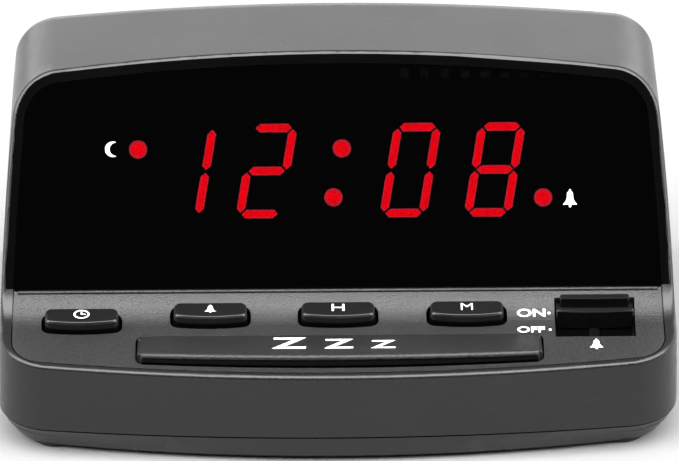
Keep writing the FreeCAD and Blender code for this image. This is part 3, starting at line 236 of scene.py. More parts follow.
looks = {
    "case_plastic": {"colour": (0.006, 0.006, 0.0062), "worn": (0.008, 0.008, 0.0083), "roughness": (0.24, 0.31),
                     "grainDepth": 40.0, "grainScale": 4000.0, "bumpStrength": 0.55, "takesPaintedShade": True},
    "deck_plastic": {"colour": (0.012, 0.012, 0.0124), "worn": (0.015, 0.015, 0.0155), "roughness": (0.27, 0.34),
                     "grainDepth": 100.0, "grainScale": 4800.0, "bumpStrength": 1.0, "takesPaintedShade": True},
    "key_plastic": {"colour": (0.0025, 0.0025, 0.0026), "roughness": (0.2, 0.27), "grainDepth": 8.0,
                    "grainScale": 4200.0},
    "module_black": {"colour": (0.004, 0.004, 0.004), "roughness": (0.55, 0.65), "grainDepth": 10.0},
    "dark_red": {"colour": (0.006, 0.003, 0.003), "roughness": (0.5, 0.6), "grainDepth": 4.0},
    "circuit_board": {"colour": (0.02, 0.09, 0.035), "worn": (0.03, 0.12, 0.05), "roughness": (0.3, 0.45),
                      "grainDepth": 15.0, "grainScale": 1400.0},
    "steel": {"colour": (0.5, 0.5, 0.49), "worn": (0.36, 0.35, 0.34), "roughness": (0.25, 0.42),
              "grainDepth": 6.0, "shader": {"Metallic": 1.0}},
    "iron_core": {"colour": (0.12, 0.11, 0.1), "worn": (0.2, 0.16, 0.12), "roughness": (0.4, 0.6),
                  "grainDepth": 18.0, "shader": {"Metallic": 0.6}},
    "copper_coil": {"colour": (0.62, 0.42, 0.05), "worn": (0.5, 0.32, 0.05), "roughness": (0.3, 0.45),
                    "grainDepth": 25.0, "grainScale": 900.0},
    "tinned": {"colour": (0.7, 0.69, 0.66), "worn": (0.5, 0.49, 0.46), "roughness": (0.2, 0.38),
               "grainDepth": 8.0, "shader": {"Metallic": 1.0}},
    "component_black": {"colour": (0.016, 0.016, 0.017), "roughness": (0.42, 0.58), "grainDepth": 14.0},
    "capacitor_blue": {"colour": (0.012, 0.035, 0.13), "roughness": (0.22, 0.34), "grainDepth": 6.0},
    "ribbon_grey": {"colour": (0.36, 0.36, 0.37), "roughness": (0.4, 0.55), "grainDepth": 14.0,
                    "grainScale": 1800.0},
    "lead_red": {"colour": (0.35, 0.015, 0.012), "roughness": (0.28, 0.4), "grainDepth": 6.0},
    "battery_shell": {"colour": (0.03, 0.032, 0.036), "worn": (0.12, 0.11, 0.1), "roughness": (0.25, 0.4),
                      "grainDepth": 6.0, "shader": {"Metallic": 0.7}},
    "foot_rubber": {"colour": (0.018, 0.018, 0.018), "worn": (0.05, 0.048, 0.045), "roughness": (0.7, 0.85),
                    "grainDepth": 30.0, "grainScale": 2200.0},
    # screen-printed ink: slightly warm off-white, broken a little by the grain under it, with a faint painted glow
    # from its emission
    "printed_white": {"colour": (0.78, 0.78, 0.77), "worn": (0.6, 0.6, 0.59), "roughness": (0.45, 0.6),
                      "grainDepth": 8.0,
                      "shader": {"Emission Color": (0.8, 0.8, 0.8, 1.0), "Emission Strength": 0.12}},
}
materials = {name: finish(name, look) for name, look in looks.items()}

windowLook = {
    "tint": (0.002, 0.002, 0.002), "bending": 1.49, "haze": (0.012, 0.03), "hazeScale": 45.0, "hazeDetail": 3.0,
    "waveScale": 120.0, "waveDetail": 1.0, "waveStrength": 0.05, "waveDepth": 20e-6,
}


def tintedWindow():
    # dark clear plastic over the display: the tint takes most of the light, with faint moulding waves in the face
    look = windowLook
    material, tree, shader = newMaterial("window_tint")
    shader.inputs["Base Color"].default_value = (*look["tint"], 1.0)
    shader.inputs["Transmission Weight"].default_value = 1.0
    shader.inputs["Metallic"].default_value = 0.0
    shader.inputs["IOR"].default_value = look["bending"]
    where = tree.nodes.new("ShaderNodeTexCoord").outputs["Object"]
    haze = rangeNode(tree, noiseNode(tree, where, look["hazeScale"], look["hazeDetail"]), 0.0, 1.0, *look["haze"])
    tree.links.new(haze, shader.inputs["Roughness"])
    waves = noiseNode(tree, where, look["waveScale"], look["waveDetail"])
    bumpNode(tree, shader, waves, look["waveStrength"], look["waveDepth"])
    return material


glowLook = {
    "base": (0.3, 0.01, 0.01), "roughness": 0.5, "speckleScale": 2400.0, "speckleDetail": 2.0, "speckle": 0.35,
    "middle": (0.1, (1.0, 0.0, 0.006)), "rim": (0.95, (0.42, 0.02, 0.045)), "strength": 425.0,
}


def litRed():
    # glowing diffuser: full red along the middle of a bar, falling to a pinker, darker rim by the "rim" attribute
    look = glowLook
    material, tree, shader = newMaterial("lit_red")
    shader.inputs["Base Color"].default_value = (*look["base"], 1.0)
    shader.inputs["Roughness"].default_value = look["roughness"]
    where = tree.nodes.new("ShaderNodeTexCoord").outputs["Object"]
    speckle = noiseNode(tree, where, look["speckleScale"], look["speckleDetail"])
    uneven = mathNode(tree, "MULTIPLY", mathNode(tree, "SUBTRACT", speckle, 0.5), look["speckle"])
    softened = mathNode(tree, "ADD", attributeNode(tree, "rim"), uneven)
    ramp = tree.nodes.new("ShaderNodeValToRGB")
    for stop, (position, colour) in zip(ramp.color_ramp.elements, (look["middle"], look["rim"])):
        stop.position = position
        stop.color = (*colour, 1.0)
    tree.links.new(softened, ramp.inputs["Fac"])
    tree.links.new(ramp.outputs["Color"], shader.inputs["Emission Color"])
    shader.inputs["Emission Strength"].default_value = look["strength"]
    return material


materials["window_tint"] = tintedWindow()
materials["lit_red"] = litRed()
print("finishes made:", len(materials))

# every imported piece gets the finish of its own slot
slotOf = {entry["node"]: entry["material_slot"] for entry in frame["record"]["subparts"]}
bodyOf = {node: body for body, members in frame["record"]["behaviour"]["bodies"].items() for node in members}
for name, piece in nodes.items():
    piece.data.materials.clear()
    piece.data.materials.append(materials[slotOf[name]])

# outer pieces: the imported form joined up, reshaped where the photo asks, edges broken, curves shaded as curves


def intoSlope(points, start, slope):
    # x, height up the slope and distance out of it, in millimetres: a turn about X by minus the slope
    y, z = points[:, 1] - start.y, points[:, 2] - start.z
    along, out = y * math.cos(slope) + z * math.sin(slope), z * math.cos(slope) - y * math.sin(slope)
    return np.stack([points[:, 0], along, out], -1) / mm


def outOfSlope(drawn, start, slope):
    # the same turn undone
    along, out = drawn[:, 1] * mm, drawn[:, 2] * mm
    y, z = along * math.cos(slope) - out * math.sin(slope), along * math.sin(slope) + out * math.cos(slope)
    return np.stack([drawn[:, 0] * mm, y + start.y, z + start.z], -1)


def pointsOf(mesh):
    points = np.empty(len(mesh.vertices) * 3)
    mesh.vertices.foreach_get("co", points)
    return points.reshape(-1, 3)


def placePoints(mesh, points):
    mesh.vertices.foreach_set("co", points.ravel())
    mesh.update()


def paintShade(mesh, domain, shadeMask):
    # painted shade, per point or per face, from 0 to 1
    layer = mesh.attributes.new("painted_shade", "FLOAT", domain)
    layer.data.foreach_set("value", shadeMask.astype(np.float32))


def paintShadeOnFaces(mesh, direction, least, above):
    # painted shade on the faces that point along a direction and lie above a height in metres
    count = len(mesh.polygons)
    facing, middle = np.empty(count * 3), np.empty(count * 3)
    mesh.polygons.foreach_get("normal", facing)
    mesh.polygons.foreach_get("center", middle)
    level = facing.reshape(-1, 3) @ np.array(direction)
    paintShade(mesh, "FACE", (level > least) & (middle.reshape(-1, 3)[:, 2] > above))


def reshapeOnDeck(mesh, change, *extra):
    # the change works on points drawn in the plane of the deck
    drawn = change(intoSlope(pointsOf(mesh), deckStart, deckSlope), *extra)
    placePoints(mesh, outOfSlope(drawn, deckStart, deckSlope))


keyForm = {"shift": -0.65, "raise": 0.8, "taper": 0.4, "halfWidth": 7.45, "topFrom": 1.0, "capFrom": -2.4}
keyPlaces = {"time_button": -49.75, "alarm_button": -24.8, "hour_button": 0.0, "minute_button": 25.0}


def reshapeKey(p, centre):
    # the cap stands higher and nearer the front, and narrows a little to its top:
    # x' = centre + (x - centre) * (1 - taper / half width)
    form = keyForm
    top = p[:, 2] > form["topFrom"]
    p[:, 0] = np.where(top, centre + (p[:, 0] - centre) * (1 - form["taper"] / form["halfWidth"]), p[:, 0])
    p[:, 2] += np.where(top, form["raise"], 0.0)
    p[:, 1] += np.where(p[:, 2] > form["capFrom"], form["shift"], 0.0)
    return p


barForm = {
    "front": 1.9, "rear": 12.3, "newRear": 10.8, "height": 2.0, "newHeight": 2.7, "round": 0.62, "rounder": 1.6,
    "bow": 543.0, "middle": 0.2, "half": 39.15, "bodyFrom": -1.35, "lowest": -1.3, "postBehind": 9.2,
    "plainBehind": 11.2,
}


def barTop(along, height, rear):
    # a plane from the height at the front to nothing at the rear
    return height * (rear - along) / (rear - barForm["front"])


def reshapeBar(p):
    # a higher top plane that ends nearer the front, a fuller front round, a plain rear edge
    form = barForm
    across = p[:, 0] - form["middle"]
    body = p[:, 2] > form["bodyFrom"]
    below = barTop(p[:, 1], form["height"], form["rear"]) - p[:, 2]
    edge = form["front"] + form["bow"] - np.sqrt(form["bow"] ** 2 - across ** 2)
    rounded, behind = body & (below < form["round"]), p[:, 1] > form["plainBehind"]
    nearFront, nearSide = p[:, 1] - edge, form["half"] - np.abs(across)
    along = np.where(rounded & (nearFront < form["round"]), edge + nearFront * form["rounder"], p[:, 1])
    side = form["half"] - nearSide * form["rounder"]
    atSide = rounded & (nearSide < form["round"]) & (nearSide >= 0)
    p[:, 0] = np.where(atSide, form["middle"] + np.sign(p[:, 0]) * side, p[:, 0])
    moved = np.where(body & (along > form["postBehind"]), along + form["newRear"] - form["rear"], along)
    low = np.where(behind, 0.0, np.minimum(below, form["round"]) * form["rounder"])
    top = barTop(moved, form["newHeight"], form["newRear"]) - low
    p[:, 2] = np.where(rounded, np.maximum(top, form["lowest"]), p[:, 2])
    p[:, 1] = moved
    return p


def workBar(mesh):
    reshapeOnDeck(mesh, reshapeBar)
    towardsFront = (0.0, -math.cos(deckSlope), -math.sin(deckSlope))
    # painted shade on the bar's front face, where the gap under its front lies in shadow
    paintShadeOnFaces(mesh, towardsFront, paintedShade["frontFacing"], 0.0)


knobForm = {
    "front": 14.65, "rear": 19.0, "step": 1.56, "stepEdge": 0.15, "ridge": 1.1, "newRidge": 2.2, "highShare": 0.6,
    "grip": 2.3, "newGrip": 2.9, "gripDepth": 1.4, "valley": 0.5,
}


def reshapeKnob(p):
    # a low front ridge, a valley, and a taller thin ridge behind it
    form = knobForm
    start, size = form["front"] + form["step"], form["rear"] - form["front"] - form["step"]
    raised, ridge = p[:, 2] > form["valley"], p[:, 1] < start - form["stepEdge"]
    share = np.clip((p[:, 1] - start) / size, 0.0, 1.0)
    grip = raised & ~ridge
    p[:, 1] = np.where(grip, form["rear"] - form["gripDepth"] * (1 - share), p[:, 1])
    high = np.where(p[:, 2] > form["ridge"] * form["highShare"], 1.0, 0.0)
    p[:, 2] += np.where(raised & ridge, high * (form["newRidge"] - form["ridge"]), 0.0)
    p[:, 2] += np.where(grip, high * (form["newGrip"] - form["grip"]), 0.0)
    return p


deckForm = {
    "coveStart": 13.66, "coveRadius": 10.5, "coveShare": 0.95, "bead": 1.25, "slimmer": 0.583, "near": 0.01,
    "barRear": (10.0, 12.75), "barReach": 39.8, "barShift": -1.8, "keySpan": (11.9, 19.1), "keyReach": 8.0,
    "holesFrom": -4.5, "wall": 2.6, "well": -0.35, "wellFade": 0.3,
}


def coveHeight(along):
    # how far the cove has risen out of the deck's plane: R - sqrt(R^2 - (along - start)^2)
    radius = deckForm["coveRadius"]
    reach = np.clip(along - deckForm["coveStart"], 0.0, radius * deckForm["coveShare"])
    return radius - np.sqrt(radius ** 2 - reach ** 2)


def slimBead(points):
    # the bead under the window drawn in towards the window's foot
    bead, near = intoSlope(points, windowFoot, windowSlope), deckForm["near"]
    slim = (bead[:, 1] < near) & (bead[:, 1] > -deckForm["bead"]) & (bead[:, 2] > -near)
    bead[:, 1:] *= np.where(slim, deckForm["slimmer"], 1.0)[:, None]
    return outOfSlope(bead, windowFoot, windowSlope)


def moveHoles(p):
    # the bar's hole ends nearer the front, and the keys' holes slide forward down the cove with their keys
    form = deckForm
    (barLow, barHigh), (keyLow, keyHigh) = form["barRear"], form["keySpan"]
    holes = p[:, 2] > form["holesFrom"]
    nearBar = holes & (np.abs(p[:, 0] - barForm["middle"]) < form["barReach"])
    nearBar &= (p[:, 1] > barLow) & (p[:, 1] < barHigh)
    p[:, 1] += np.where(nearBar & (p[:, 2] > -form["wall"]), form["barShift"], 0.0)
    for centre in keyPlaces.values():
        near = holes & ~nearBar & (np.abs(p[:, 0] - centre) < form["keyReach"])
        near &= (p[:, 1] > keyLow) & (p[:, 1] < keyHigh) & (p[:, 2] > coveHeight(p[:, 1]) - form["wall"])
        moved = p[:, 1] + np.where(near, keyForm["shift"], 0.0)
        p[:, 2] += coveHeight(moved) - coveHeight(p[:, 1])
        p[:, 1] = moved
    return p


def workDeck(mesh):
    drawn = moveHoles(intoSlope(slimBead(pointsOf(mesh)), deckStart, deckSlope))
    depth = drawn[:, 2] - coveHeight(drawn[:, 1])
    # painted shade in the wells of the deck: below the "well" depth, faded in over "wellFade"
    paintShade(mesh, "POINT", np.clip((deckForm["well"] - depth) / deckForm["wellFade"], 0.0, 1.0))
    placePoints(mesh, outOfSlope(drawn, deckStart, deckSlope))


rearForm = {"ridge": 7.55, "reach": 15.0, "parting": 6.3, "lean": 0.036, "fall": 0.0515, "from": 30.0, "over": 30.0}


def workRear(mesh):
    # the rear wall stands a little steeper and the crown falls less behind the ridge, each faded in:
    # y' = y + lean * height above the parting, z' = z + fall * distance behind the ridge
    form, points = rearForm, pointsOf(mesh)
    y, z = points[:, 1] / mm, points[:, 2] / mm
    behind = np.clip(y - form["ridge"], 0.0, None)
    steeper = np.clip(behind / form["reach"], 0.0, 1.0) * form["lean"] * np.clip(z - form["parting"], 0.0, None)
    lifted = form["fall"] * behind * np.clip((z - form["from"]) / form["over"], 0.0, 1.0)
    placePoints(mesh, np.stack([points[:, 0], points[:, 1] + steeper * mm, points[:, 2] + lifted * mm], -1))


def workCase(mesh):
    workRear(mesh)
    outOfWindow = (0.0, -math.sin(windowSlope), math.cos(windowSlope))
    # painted shade on the rim round the window: its faces are painted near black
    paintShadeOnFaces(mesh, outOfWindow, paintedShade["rimFacing"], windowFoot.z)


joining = {"gap": 2e-6, "flat": 0.4, "sharp": 35.0}  # metres, then degrees
keyEdges = {"edge": 0.22, "steps": 4, "curve": 30.0}
workedPieces = {
    "upper_case": {"edge": 0.18, "steps": 3, "curve": 24.0},
    "base_case": {"edge": 0.2, "steps": 3, "curve": 24.0},
    "control_deck": {"edge": 0.16, "steps": 3, "curve": 24.0},
    "display_lens": {"edge": 0.1, "steps": 2, "curve": 24.0},
    "snooze_bar": {"edge": 0.04, "steps": 2, "curve": 32.0},
    **{name: keyEdges for name in keyPlaces},
    "alarm_switch_knob": {"edge": 0.14, "steps": 3, "curve": 30.0},
    "battery_door": {"edge": 0.15, "steps": 3, "curve": 24.0},
    "rubber_feet": {"edge": 0.25, "steps": 3, "curve": 30.0},
    "cord_inlet_bush": {"edge": 0.15, "steps": 3, "curve": 30.0},
}


def reshaped(mesh, node):
    if node in keyPlaces:
        reshapeOnDeck(mesh, reshapeKey, keyPlaces[node])
    elif node == "alarm_switch_knob":
        reshapeOnDeck(mesh, reshapeKnob)
    elif node == "snooze_bar":
        workBar(mesh)
    elif node == "control_deck":
        workDeck(mesh)
    elif node == "upper_case":
        workCase(mesh)
    elif node == "cord_inlet_bush":
        workRear(mesh)


def workedCopy(node, edge, steps, curve):
    # joins the node's loose triangles, merges flat areas, then breaks its sharp edges by a small round
    mesh = nodes[node].data.copy()
    shape = bmesh.new()
    shape.from_mesh(mesh)
    bmesh.ops.remove_doubles(shape, verts=shape.verts, dist=joining["gap"])
    bmesh.ops.dissolve_limit(shape, angle_limit=math.radians(joining["flat"]), verts=shape.verts, edges=shape.edges)
    shape.to_mesh(mesh)
    shape.free()
    reshaped(mesh, node)
    mesh.name = node + "_worked"
    piece = bpy.data.objects.new(node + "_worked", mesh)
    bpy.context.scene.collection.objects.link(piece)
    mesh.shade_smooth()
    mesh.set_sharp_from_angle(angle=math.radians(curve))
    bevel = piece.modifiers.new("edge break", "BEVEL")
    bevel.width = edge * mm
    bevel.segments = steps
    bevel.limit_method = "ANGLE"
    bevel.angle_limit = math.radians(joining["sharp"])
    bevel.harden_normals = True
    weigh = piece.modifiers.new("flat faces stay flat", "WEIGHTED_NORMAL")
    weigh.keep_sharp = True
    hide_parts(node)
    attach(piece, bodyOf[node])


for name, look in workedPieces.items():
    workedCopy(name, look["edge"], look["steps"], look["curve"])
print("housing pieces worked:", len(workedPieces))

# the lit display

display = {
    "digitCentres": (-30.8, -15.1, 12.95, 29.4), "digits": "1208", "foot": 14.75, "height": 16.75, "width": 7.6,
    "slant": 9.8, "barWidth": 1.7, "barGap": 0.5, "barDepth": 1.0, "surface": -2.9, "dotRadius": 1.8,
    "dots": [(1.04, 27.44), (-0.68, 17.9), (-38.7, 27.5), (40.22, 17.6)],
    "litBars": {"0": "abcdef", "1": "bc", "2": "abged", "8": "abcdefg"},
}
# where each bar's middle lies, in half widths and half heights of the digit
barPlaces = {"a": (0, 2), "b": (1, 1.5), "c": (1, 0.5), "d": (0, 0), "e": (-1, 0.5), "f": (-1, 1.5), "g": (0, 1)}
# a plate's rings from its back to its middle: how far each steps in, its height and how much of a rim it is
plateRings = {"inset": [0.0, 0.0, 0.12, 0.3, 0.6], "height": [-display["barDepth"], -0.02, 0.0, 0.0, 0.0],
              "rim": [1.0, 1.0, 0.8, 0.25, 0.0]}
onWindow = slopeMatrix(windowFoot, windowSlope)


def addMesh(name, points, faces, material):
    mesh = bpy.data.meshes.new(name)
    mesh.from_pydata(points.reshape(-1, 3).tolist(), [], faces)
    mesh.validate()
    mesh.materials.append(material)
    piece = bpy.data.objects.new(name, mesh)
    bpy.context.scene.collection.objects.link(piece)
    return piece


def ringFaces(rings, count, first):
    # quads between closed rings of count points each, first ring closed below and last ring closed above
    ring, step = np.meshgrid(np.arange(rings - 1), np.arange(count), indexing="ij")
    here, beyond, after = ring * count, (ring + 1) * count, (step + 1) % count
    quads = np.stack([here + step, here + after, beyond + after, beyond + step], -1)
    faces = (quads.reshape(-1, 4) + first).tolist()
    faces.append((np.arange(count)[::-1] + first).tolist())
    faces.append((np.arange(count) + (rings - 1) * count + first).tolist())
    return faces


def glowingPlates(name, outlines):
    # each outline (count x 2, millimetres) becomes a plate whose rings step in from the rim:
    # point = centre of the bar's spine + (outline - spine) * (1 - inset), with the "rim" attribute kept
    insets, rims = np.array(plateRings["inset"]), np.array(plateRings["rim"])
    heights = display["surface"] + np.array(plateRings["height"])
    points, faces, rim = [], [], []
    for spine, outline in outlines:
        start = sum(len(p) for p in points)
        grid = spine[None] + (outline - spine)[None] * (1 - insets)[:, None, None]
        level = np.broadcast_to(heights[:, None, None], grid.shape[:2] + (1,))
        points.append(np.concatenate([grid, level], -1).reshape(-1, 3))
        faces += ringFaces(len(insets), len(outline), start)
        rim.append(np.repeat(rims, len(outline)))
    piece = addMesh(name, np.concatenate(points), faces, materials["lit_red"])
    layer = piece.data.attributes.new("rim", "FLOAT", "POINT")
    layer.data.foreach_set("value", np.concatenate(rim).astype(np.float32))
    piece.data.transform(onWindow)
    return piece


def barOutline(across, row, flat, centre):
    # a long hexagon with pointed ends on the slanted digit: x' = x + y tan(slant)
    half = display["barWidth"] / 2
    tip = ((display["width"] if flat else display["height"] / 2) - display["barGap"]) / 2
    neck = tip - half
    shape = np.array([(-tip, 0), (-neck, -half), (neck, -half), (tip, 0), (neck, half), (-neck, half)])
    spine = np.array([(-neck, 0), (-neck, 0), (neck, 0), (neck, 0), (neck, 0), (-neck, 0)])
    lean = math.tan(math.radians(display["slant"]))
    result = []
    for points in (spine, shape):
        turned = points if flat else np.stack([-points[:, 1], points[:, 0]], -1)
        moved = turned + np.array([across * display["width"] / 2, row * display["height"] / 2])
        result.append(np.stack([moved[:, 0] + moved[:, 1] * lean + centre, moved[:, 1] + display["foot"]], -1))
    return result


def circleLoop(x, y, radius, count=36):
    turn = np.linspace(0, 2 * np.pi, count, endpoint=False)
    return np.stack([x + radius * np.cos(turn), y + radius * np.sin(turn)], -1)


def dotOutline(x, along):
    ring = circleLoop(x, along, display["dotRadius"], 40)
    return [np.broadcast_to(np.array([x, along]), ring.shape), ring]


litOutlines = [
    barOutline(*barPlaces[bar], bar in "adg", centre)
    for centre, digit in zip(display["digitCentres"], display["digits"])
    for bar in display["litBars"][digit]
]
litBars = glowingPlates("lit_digit_bars", litOutlines)
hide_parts("lit_segments")
dotOutlines = [dotOutline(x, along) for x, along in display["dots"]]
litDots = glowingPlates("lit_dots", dotOutlines)
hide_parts("indicator_dots")
for piece in (litBars, litDots):
    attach(piece, "housing")
print("display lit:", len(litOutlines), "bars and", len(dotOutlines), "dots")

# printed marks

marks = {
    "keyTop": 2.6, "lensFace": -0.5, "deckFace": 0.0, "lift": 0.02, "coveMark": (16.17, 0.46, 13.8),
    "thickness": 0.015, "capitalShare": 0.7, "dotRadius": 0.3,
}
sleepMark = {"middle": 7.35, "xs": (-9.6, 0.0, 8.6), "heights": (4.7, 4.0, 3.4), "widen": 1.5, "weight": 0.02}


def flatMark(name, data, place, body):
    # a filled flat curve or a line of text made a mesh, then put in place just above the surface it is printed on
    holder = bpy.data.objects.new(name + "_drawing", data)
    bpy.context.scene.collection.objects.link(holder)
    bpy.context.view_layer.update()
    mesh = bpy.data.meshes.new_from_object(holder.evaluated_get(bpy.context.evaluated_depsgraph_get()))
    bpy.data.objects.remove(holder)
    mesh.name = name
    mesh.transform(place)
    mesh.materials.clear()
    mesh.materials.append(materials["printed_white"])
    piece = bpy.data.objects.new(name, mesh)
    bpy.context.scene.collection.objects.link(piece)
    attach(piece, body)


def lettering(text, height, widen, weight):
    # plain built-in letters, as high as asked, widened and thickened, centred on their middle
    data = bpy.data.curves.new(text, "FONT")
    data.body = text
    data.size = height / marks["capitalShare"]
    data.offset = weight * height
    data.align_x = "CENTER"
    data.align_y = "CENTER"
    data.extrude = marks["thickness"]
    return data, Matrix.Diagonal((widen, 1.0, 1.0, 1.0))


def sign(name, loops, widen=1.0):
    # closed loops filled as a flat curve, with a loop inside another left open
    data = bpy.data.curves.new(name, "CURVE")
    data.dimensions = "2D"
    data.fill_mode = "BOTH"
    data.extrude = marks["thickness"]
    for loop in loops:
        spline = data.splines.new("POLY")
        spline.points.add(len(loop) - 1)
        flat = np.concatenate([loop, np.zeros((len(loop), 1)), np.ones((len(loop), 1))], -1)
        spline.points.foreach_set("co", flat.ravel())
        spline.use_cyclic_u = True
    return data, Matrix.Diagonal((widen, 1.0, 1.0, 1.0))


def clockFace(size):
    # a ring with two hands
    hand = np.array([(-0.09, -0.09), (0.09, -0.09), (0.09, 0.62), (-0.09, 0.62)])
    short = np.array([(0.09, 0.09), (0.09, -0.09), (0.5, -0.09), (0.5, 0.09)])
    return [size * loop for loop in (circleLoop(0, 0, 1.0), circleLoop(0, 0, 0.78), hand, short)]


def bell(size):
    # outline of a hand bell: flared skirt, domed top, with its knob and clapper
    y = np.linspace(0, 1, 16)
    half = 0.36 + 0.5 * (1 - y) ** 2.6
    dome = np.linspace(0, np.pi, 13)[1:-1]
    top = np.stack([0.36 * np.cos(dome), 0.55 + 0.36 * np.sin(dome)], -1)
    right = np.stack([half, -0.75 + 1.3 * y], -1)
    left = right[::-1] * (-1, 1)
    knob, clapper = circleLoop(0, 1.0, 0.12, 16), circleLoop(0, -0.92, 0.17, 16)
    return [size * loop for loop in (np.concatenate([right, top, left]), knob, clapper)]


def crescent(size):
    # the part of one circle that a second, shifted one leaves
    outer = np.linspace(math.radians(62), math.radians(298), 30)
    inner = np.linspace(math.radians(270), math.radians(90), 26)
    big = np.stack([np.cos(outer), np.sin(outer)], -1)
    small = np.stack([0.4695 + 0.883 * np.cos(inner), 0.883 * np.sin(inner)], -1)
    return [size * np.concatenate([big, small])]


def markOnSlope(start, slope, name, drawing, body, x, along, out, tilt=0.0):
    data, widened = drawing
    place = slopeMatrix(start, slope, x, along, out + marks["lift"]) @ Matrix.Rotation(math.radians(tilt), 4, "X")
    flatMark(name, data, place @ widened, body)


keyTop, lensFace, deckFace = marks["keyTop"], marks["lensFace"], marks["deckFace"]
keyXs = list(keyPlaces.values())
dot = [circleLoop(0, 0, marks["dotRadius"], 20)]
# name, drawing, body, x, height up the slope, distance out of it, and the tilt where the surface is not the slope's
deckMarks = [
    ("clock_mark", sign("clock", clockFace(1.2), 1.3), "time_key", keyXs[0], 14.5, keyTop),
    ("bell_mark", sign("bell", bell(1.0), 1.3), "alarm_key", keyXs[1], 15.8, keyTop),
    ("hour_mark", lettering("H", 2.0, 1.5, 0.0), "hour_key", keyXs[2], 15.8, keyTop),
    ("minute_mark", lettering("M", 2.0, 1.3, -0.012), "minute_key", keyXs[3], 15.8, keyTop),
    ("on_mark", lettering("ON", 1.75, 1.45, 0.03), "housing", 37.6, *marks["coveMark"]),
    ("off_mark", lettering("OFF", 1.6, 1.35, 0.03), "housing", 37.4, 11.95, deckFace),
    ("on_dot", sign("dot", dot), "housing", 41.0, *marks["coveMark"]),
    ("off_dot", sign("dot", dot), "housing", 41.1, 11.95, deckFace),
    ("switch_bell_mark", sign("bell", bell(1.3), 1.2), "housing", 49.9, 7.8, deckFace),
]
windowMarks = [
    ("moon_mark", sign("moon", crescent(1.5)), "housing", -43.6, 27.5, lensFace),
    ("lens_bell_mark", sign("bell", bell(1.6)), "housing", 45.4, 17.3, lensFace),
]
for mark in deckMarks:
    markOnSlope(deckStart, deckSlope, *mark)
for mark in windowMarks:
    markOnSlope(windowFoot, windowSlope, *mark)
barFall = barForm["newHeight"] / (barForm["newRear"] - barForm["front"])  # how fast the bar's top falls to the rear
barFace = barFall * (barForm["newRear"] - sleepMark["middle"])
onBar = slopeMatrix(deckStart, deckSlope, 0.0, sleepMark["middle"], barFace + marks["lift"])
onBar = onBar @ Matrix.Rotation(-math.atan(barFall), 4, "X")
for k, (x, height) in enumerate(zip(sleepMark["xs"], sleepMark["heights"])):
    data, widened = lettering("Z", height, sleepMark["widen"], sleepMark["weight"])
    lowered = (height - sleepMark["heights"][0]) / 2
    flatMark("sleep_mark_" + str(k + 1), data, onBar @ Matrix.Translation((x, lowered, 0)) @ widened, "snooze_key")
print("marks printed")

# floor, light and camera: metres and degrees, with the camera's target in millimetres

studio = {
    "floorColour": (0.25, 0.25, 0.25), "floorReach": 6.0, "floorRoughness": 0.9, "backdrop": 1.0, "strength": 10.0,
    "bands": [(0.0, 0.004), (0.235, 0.004), (0.30, 1.0), (0.475, 1.0),
              (0.545, 0.04), (0.74, 0.04), (0.82, 0.26), (1.0, 0.29)],
}
view = {
    "down": 31.0, "round": -0.8, "distance": 1.3, "target": (0.47, -9.14, 34.44), "sensor": 36.0,
    "focalPixels": 6662.5, "widthPixels": 679.0, "nearest": 0.05, "farthest": 50.0,
}


def makeFloor():
    reach = studio["floorReach"]
    points = np.array([(-reach, -reach, 0), (reach, -reach, 0), (reach, reach, 0), (-reach, reach, 0)])
    material, tree, shader = newMaterial("pale_floor")
    shader.inputs["Base Color"].default_value = (*studio["floorColour"], 1.0)
    shader.inputs["Roughness"].default_value = studio["floorRoughness"]
    floor = addMesh("floor", points, [[0, 1, 2, 3]], material)


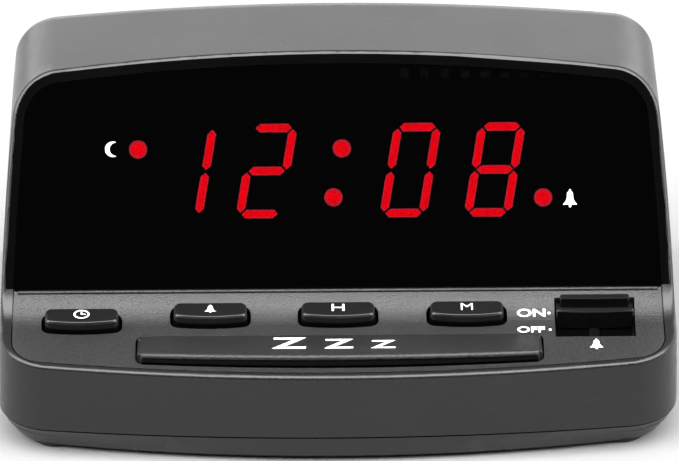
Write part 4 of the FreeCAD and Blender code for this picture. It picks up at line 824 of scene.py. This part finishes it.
def makeLight():
    # light by the angle round X, from 0 at the front horizon over the top to 1 at the rear horizon: dark behind
    # the camera, a bright box high in front, dark past the top, a pale sweep low at the rear; the camera sees
    # the backdrop instead
    world = bpy.data.worlds.new("studio")
    bpy.context.scene.world = world
    world.use_nodes = True
    tree = world.node_tree
    tree.nodes.clear()
    where = tree.nodes.new("ShaderNodeTexCoord").outputs["Generated"]
    split = tree.nodes.new("ShaderNodeSeparateXYZ")
    tree.links.new(where, split.inputs[0])
    toFront = mathNode(tree, "MULTIPLY", split.outputs["Y"], -1.0)
    height = mathNode(tree, "DIVIDE", mathNode(tree, "ARCTAN2", split.outputs["Z"], toFront), math.pi)
    ramp = tree.nodes.new("ShaderNodeValToRGB")
    stops = ramp.color_ramp.elements
    while len(stops) < len(studio["bands"]):
        stops.new(0.5)
    for stop, (position, level) in zip(stops, studio["bands"]):
        stop.position = position
        stop.color = (level, level, level, 1.0)
    tree.links.new(height, ramp.inputs["Fac"])
    lit = tree.nodes.new("ShaderNodeBackground")
    lit.inputs["Strength"].default_value = studio["strength"]
    tree.links.new(ramp.outputs["Color"], lit.inputs["Color"])
    seen = tree.nodes.new("ShaderNodeBackground")
    seen.inputs["Color"].default_value = (studio["backdrop"],) * 3 + (1.0,)
    choose = tree.nodes.new("ShaderNodeMixShader")
    tree.links.new(tree.nodes.new("ShaderNodeLightPath").outputs["Is Camera Ray"], choose.inputs["Fac"])
    tree.links.new(lit.outputs[0], choose.inputs[1])
    tree.links.new(seen.outputs[0], choose.inputs[2])
    tree.links.new(choose.outputs[0], tree.nodes.new("ShaderNodeOutputWorld").inputs["Surface"])
    bpy.context.scene.view_settings.view_transform = "Standard"


def makeCamera():
    # the photo's view, with a long lens
    data = bpy.data.cameras.new("camera")
    camera = bpy.data.objects.new("camera", data)
    bpy.context.scene.collection.objects.link(camera)
    tilt, turn = math.radians(view["down"]), math.radians(view["round"])
    forward = Vector((-math.sin(turn) * math.cos(tilt), math.cos(turn) * math.cos(tilt), -math.sin(tilt)))
    right = Vector((math.cos(turn), math.sin(turn), 0.0))
    up = right.cross(forward)
    turned = Matrix((right, up, -forward)).transposed().to_4x4()
    target = Vector(view["target"]) * mm
    camera.matrix_world = Matrix.Translation(target - forward * view["distance"]) @ turned
    data.lens = view["sensor"] * view["focalPixels"] / view["widthPixels"]
    data.sensor_width = view["sensor"]
    data.clip_start, data.clip_end = view["nearest"], view["farthest"]
    bpy.context.scene.camera = camera


makeFloor()
makeLight()
makeCamera()
print("studio set")
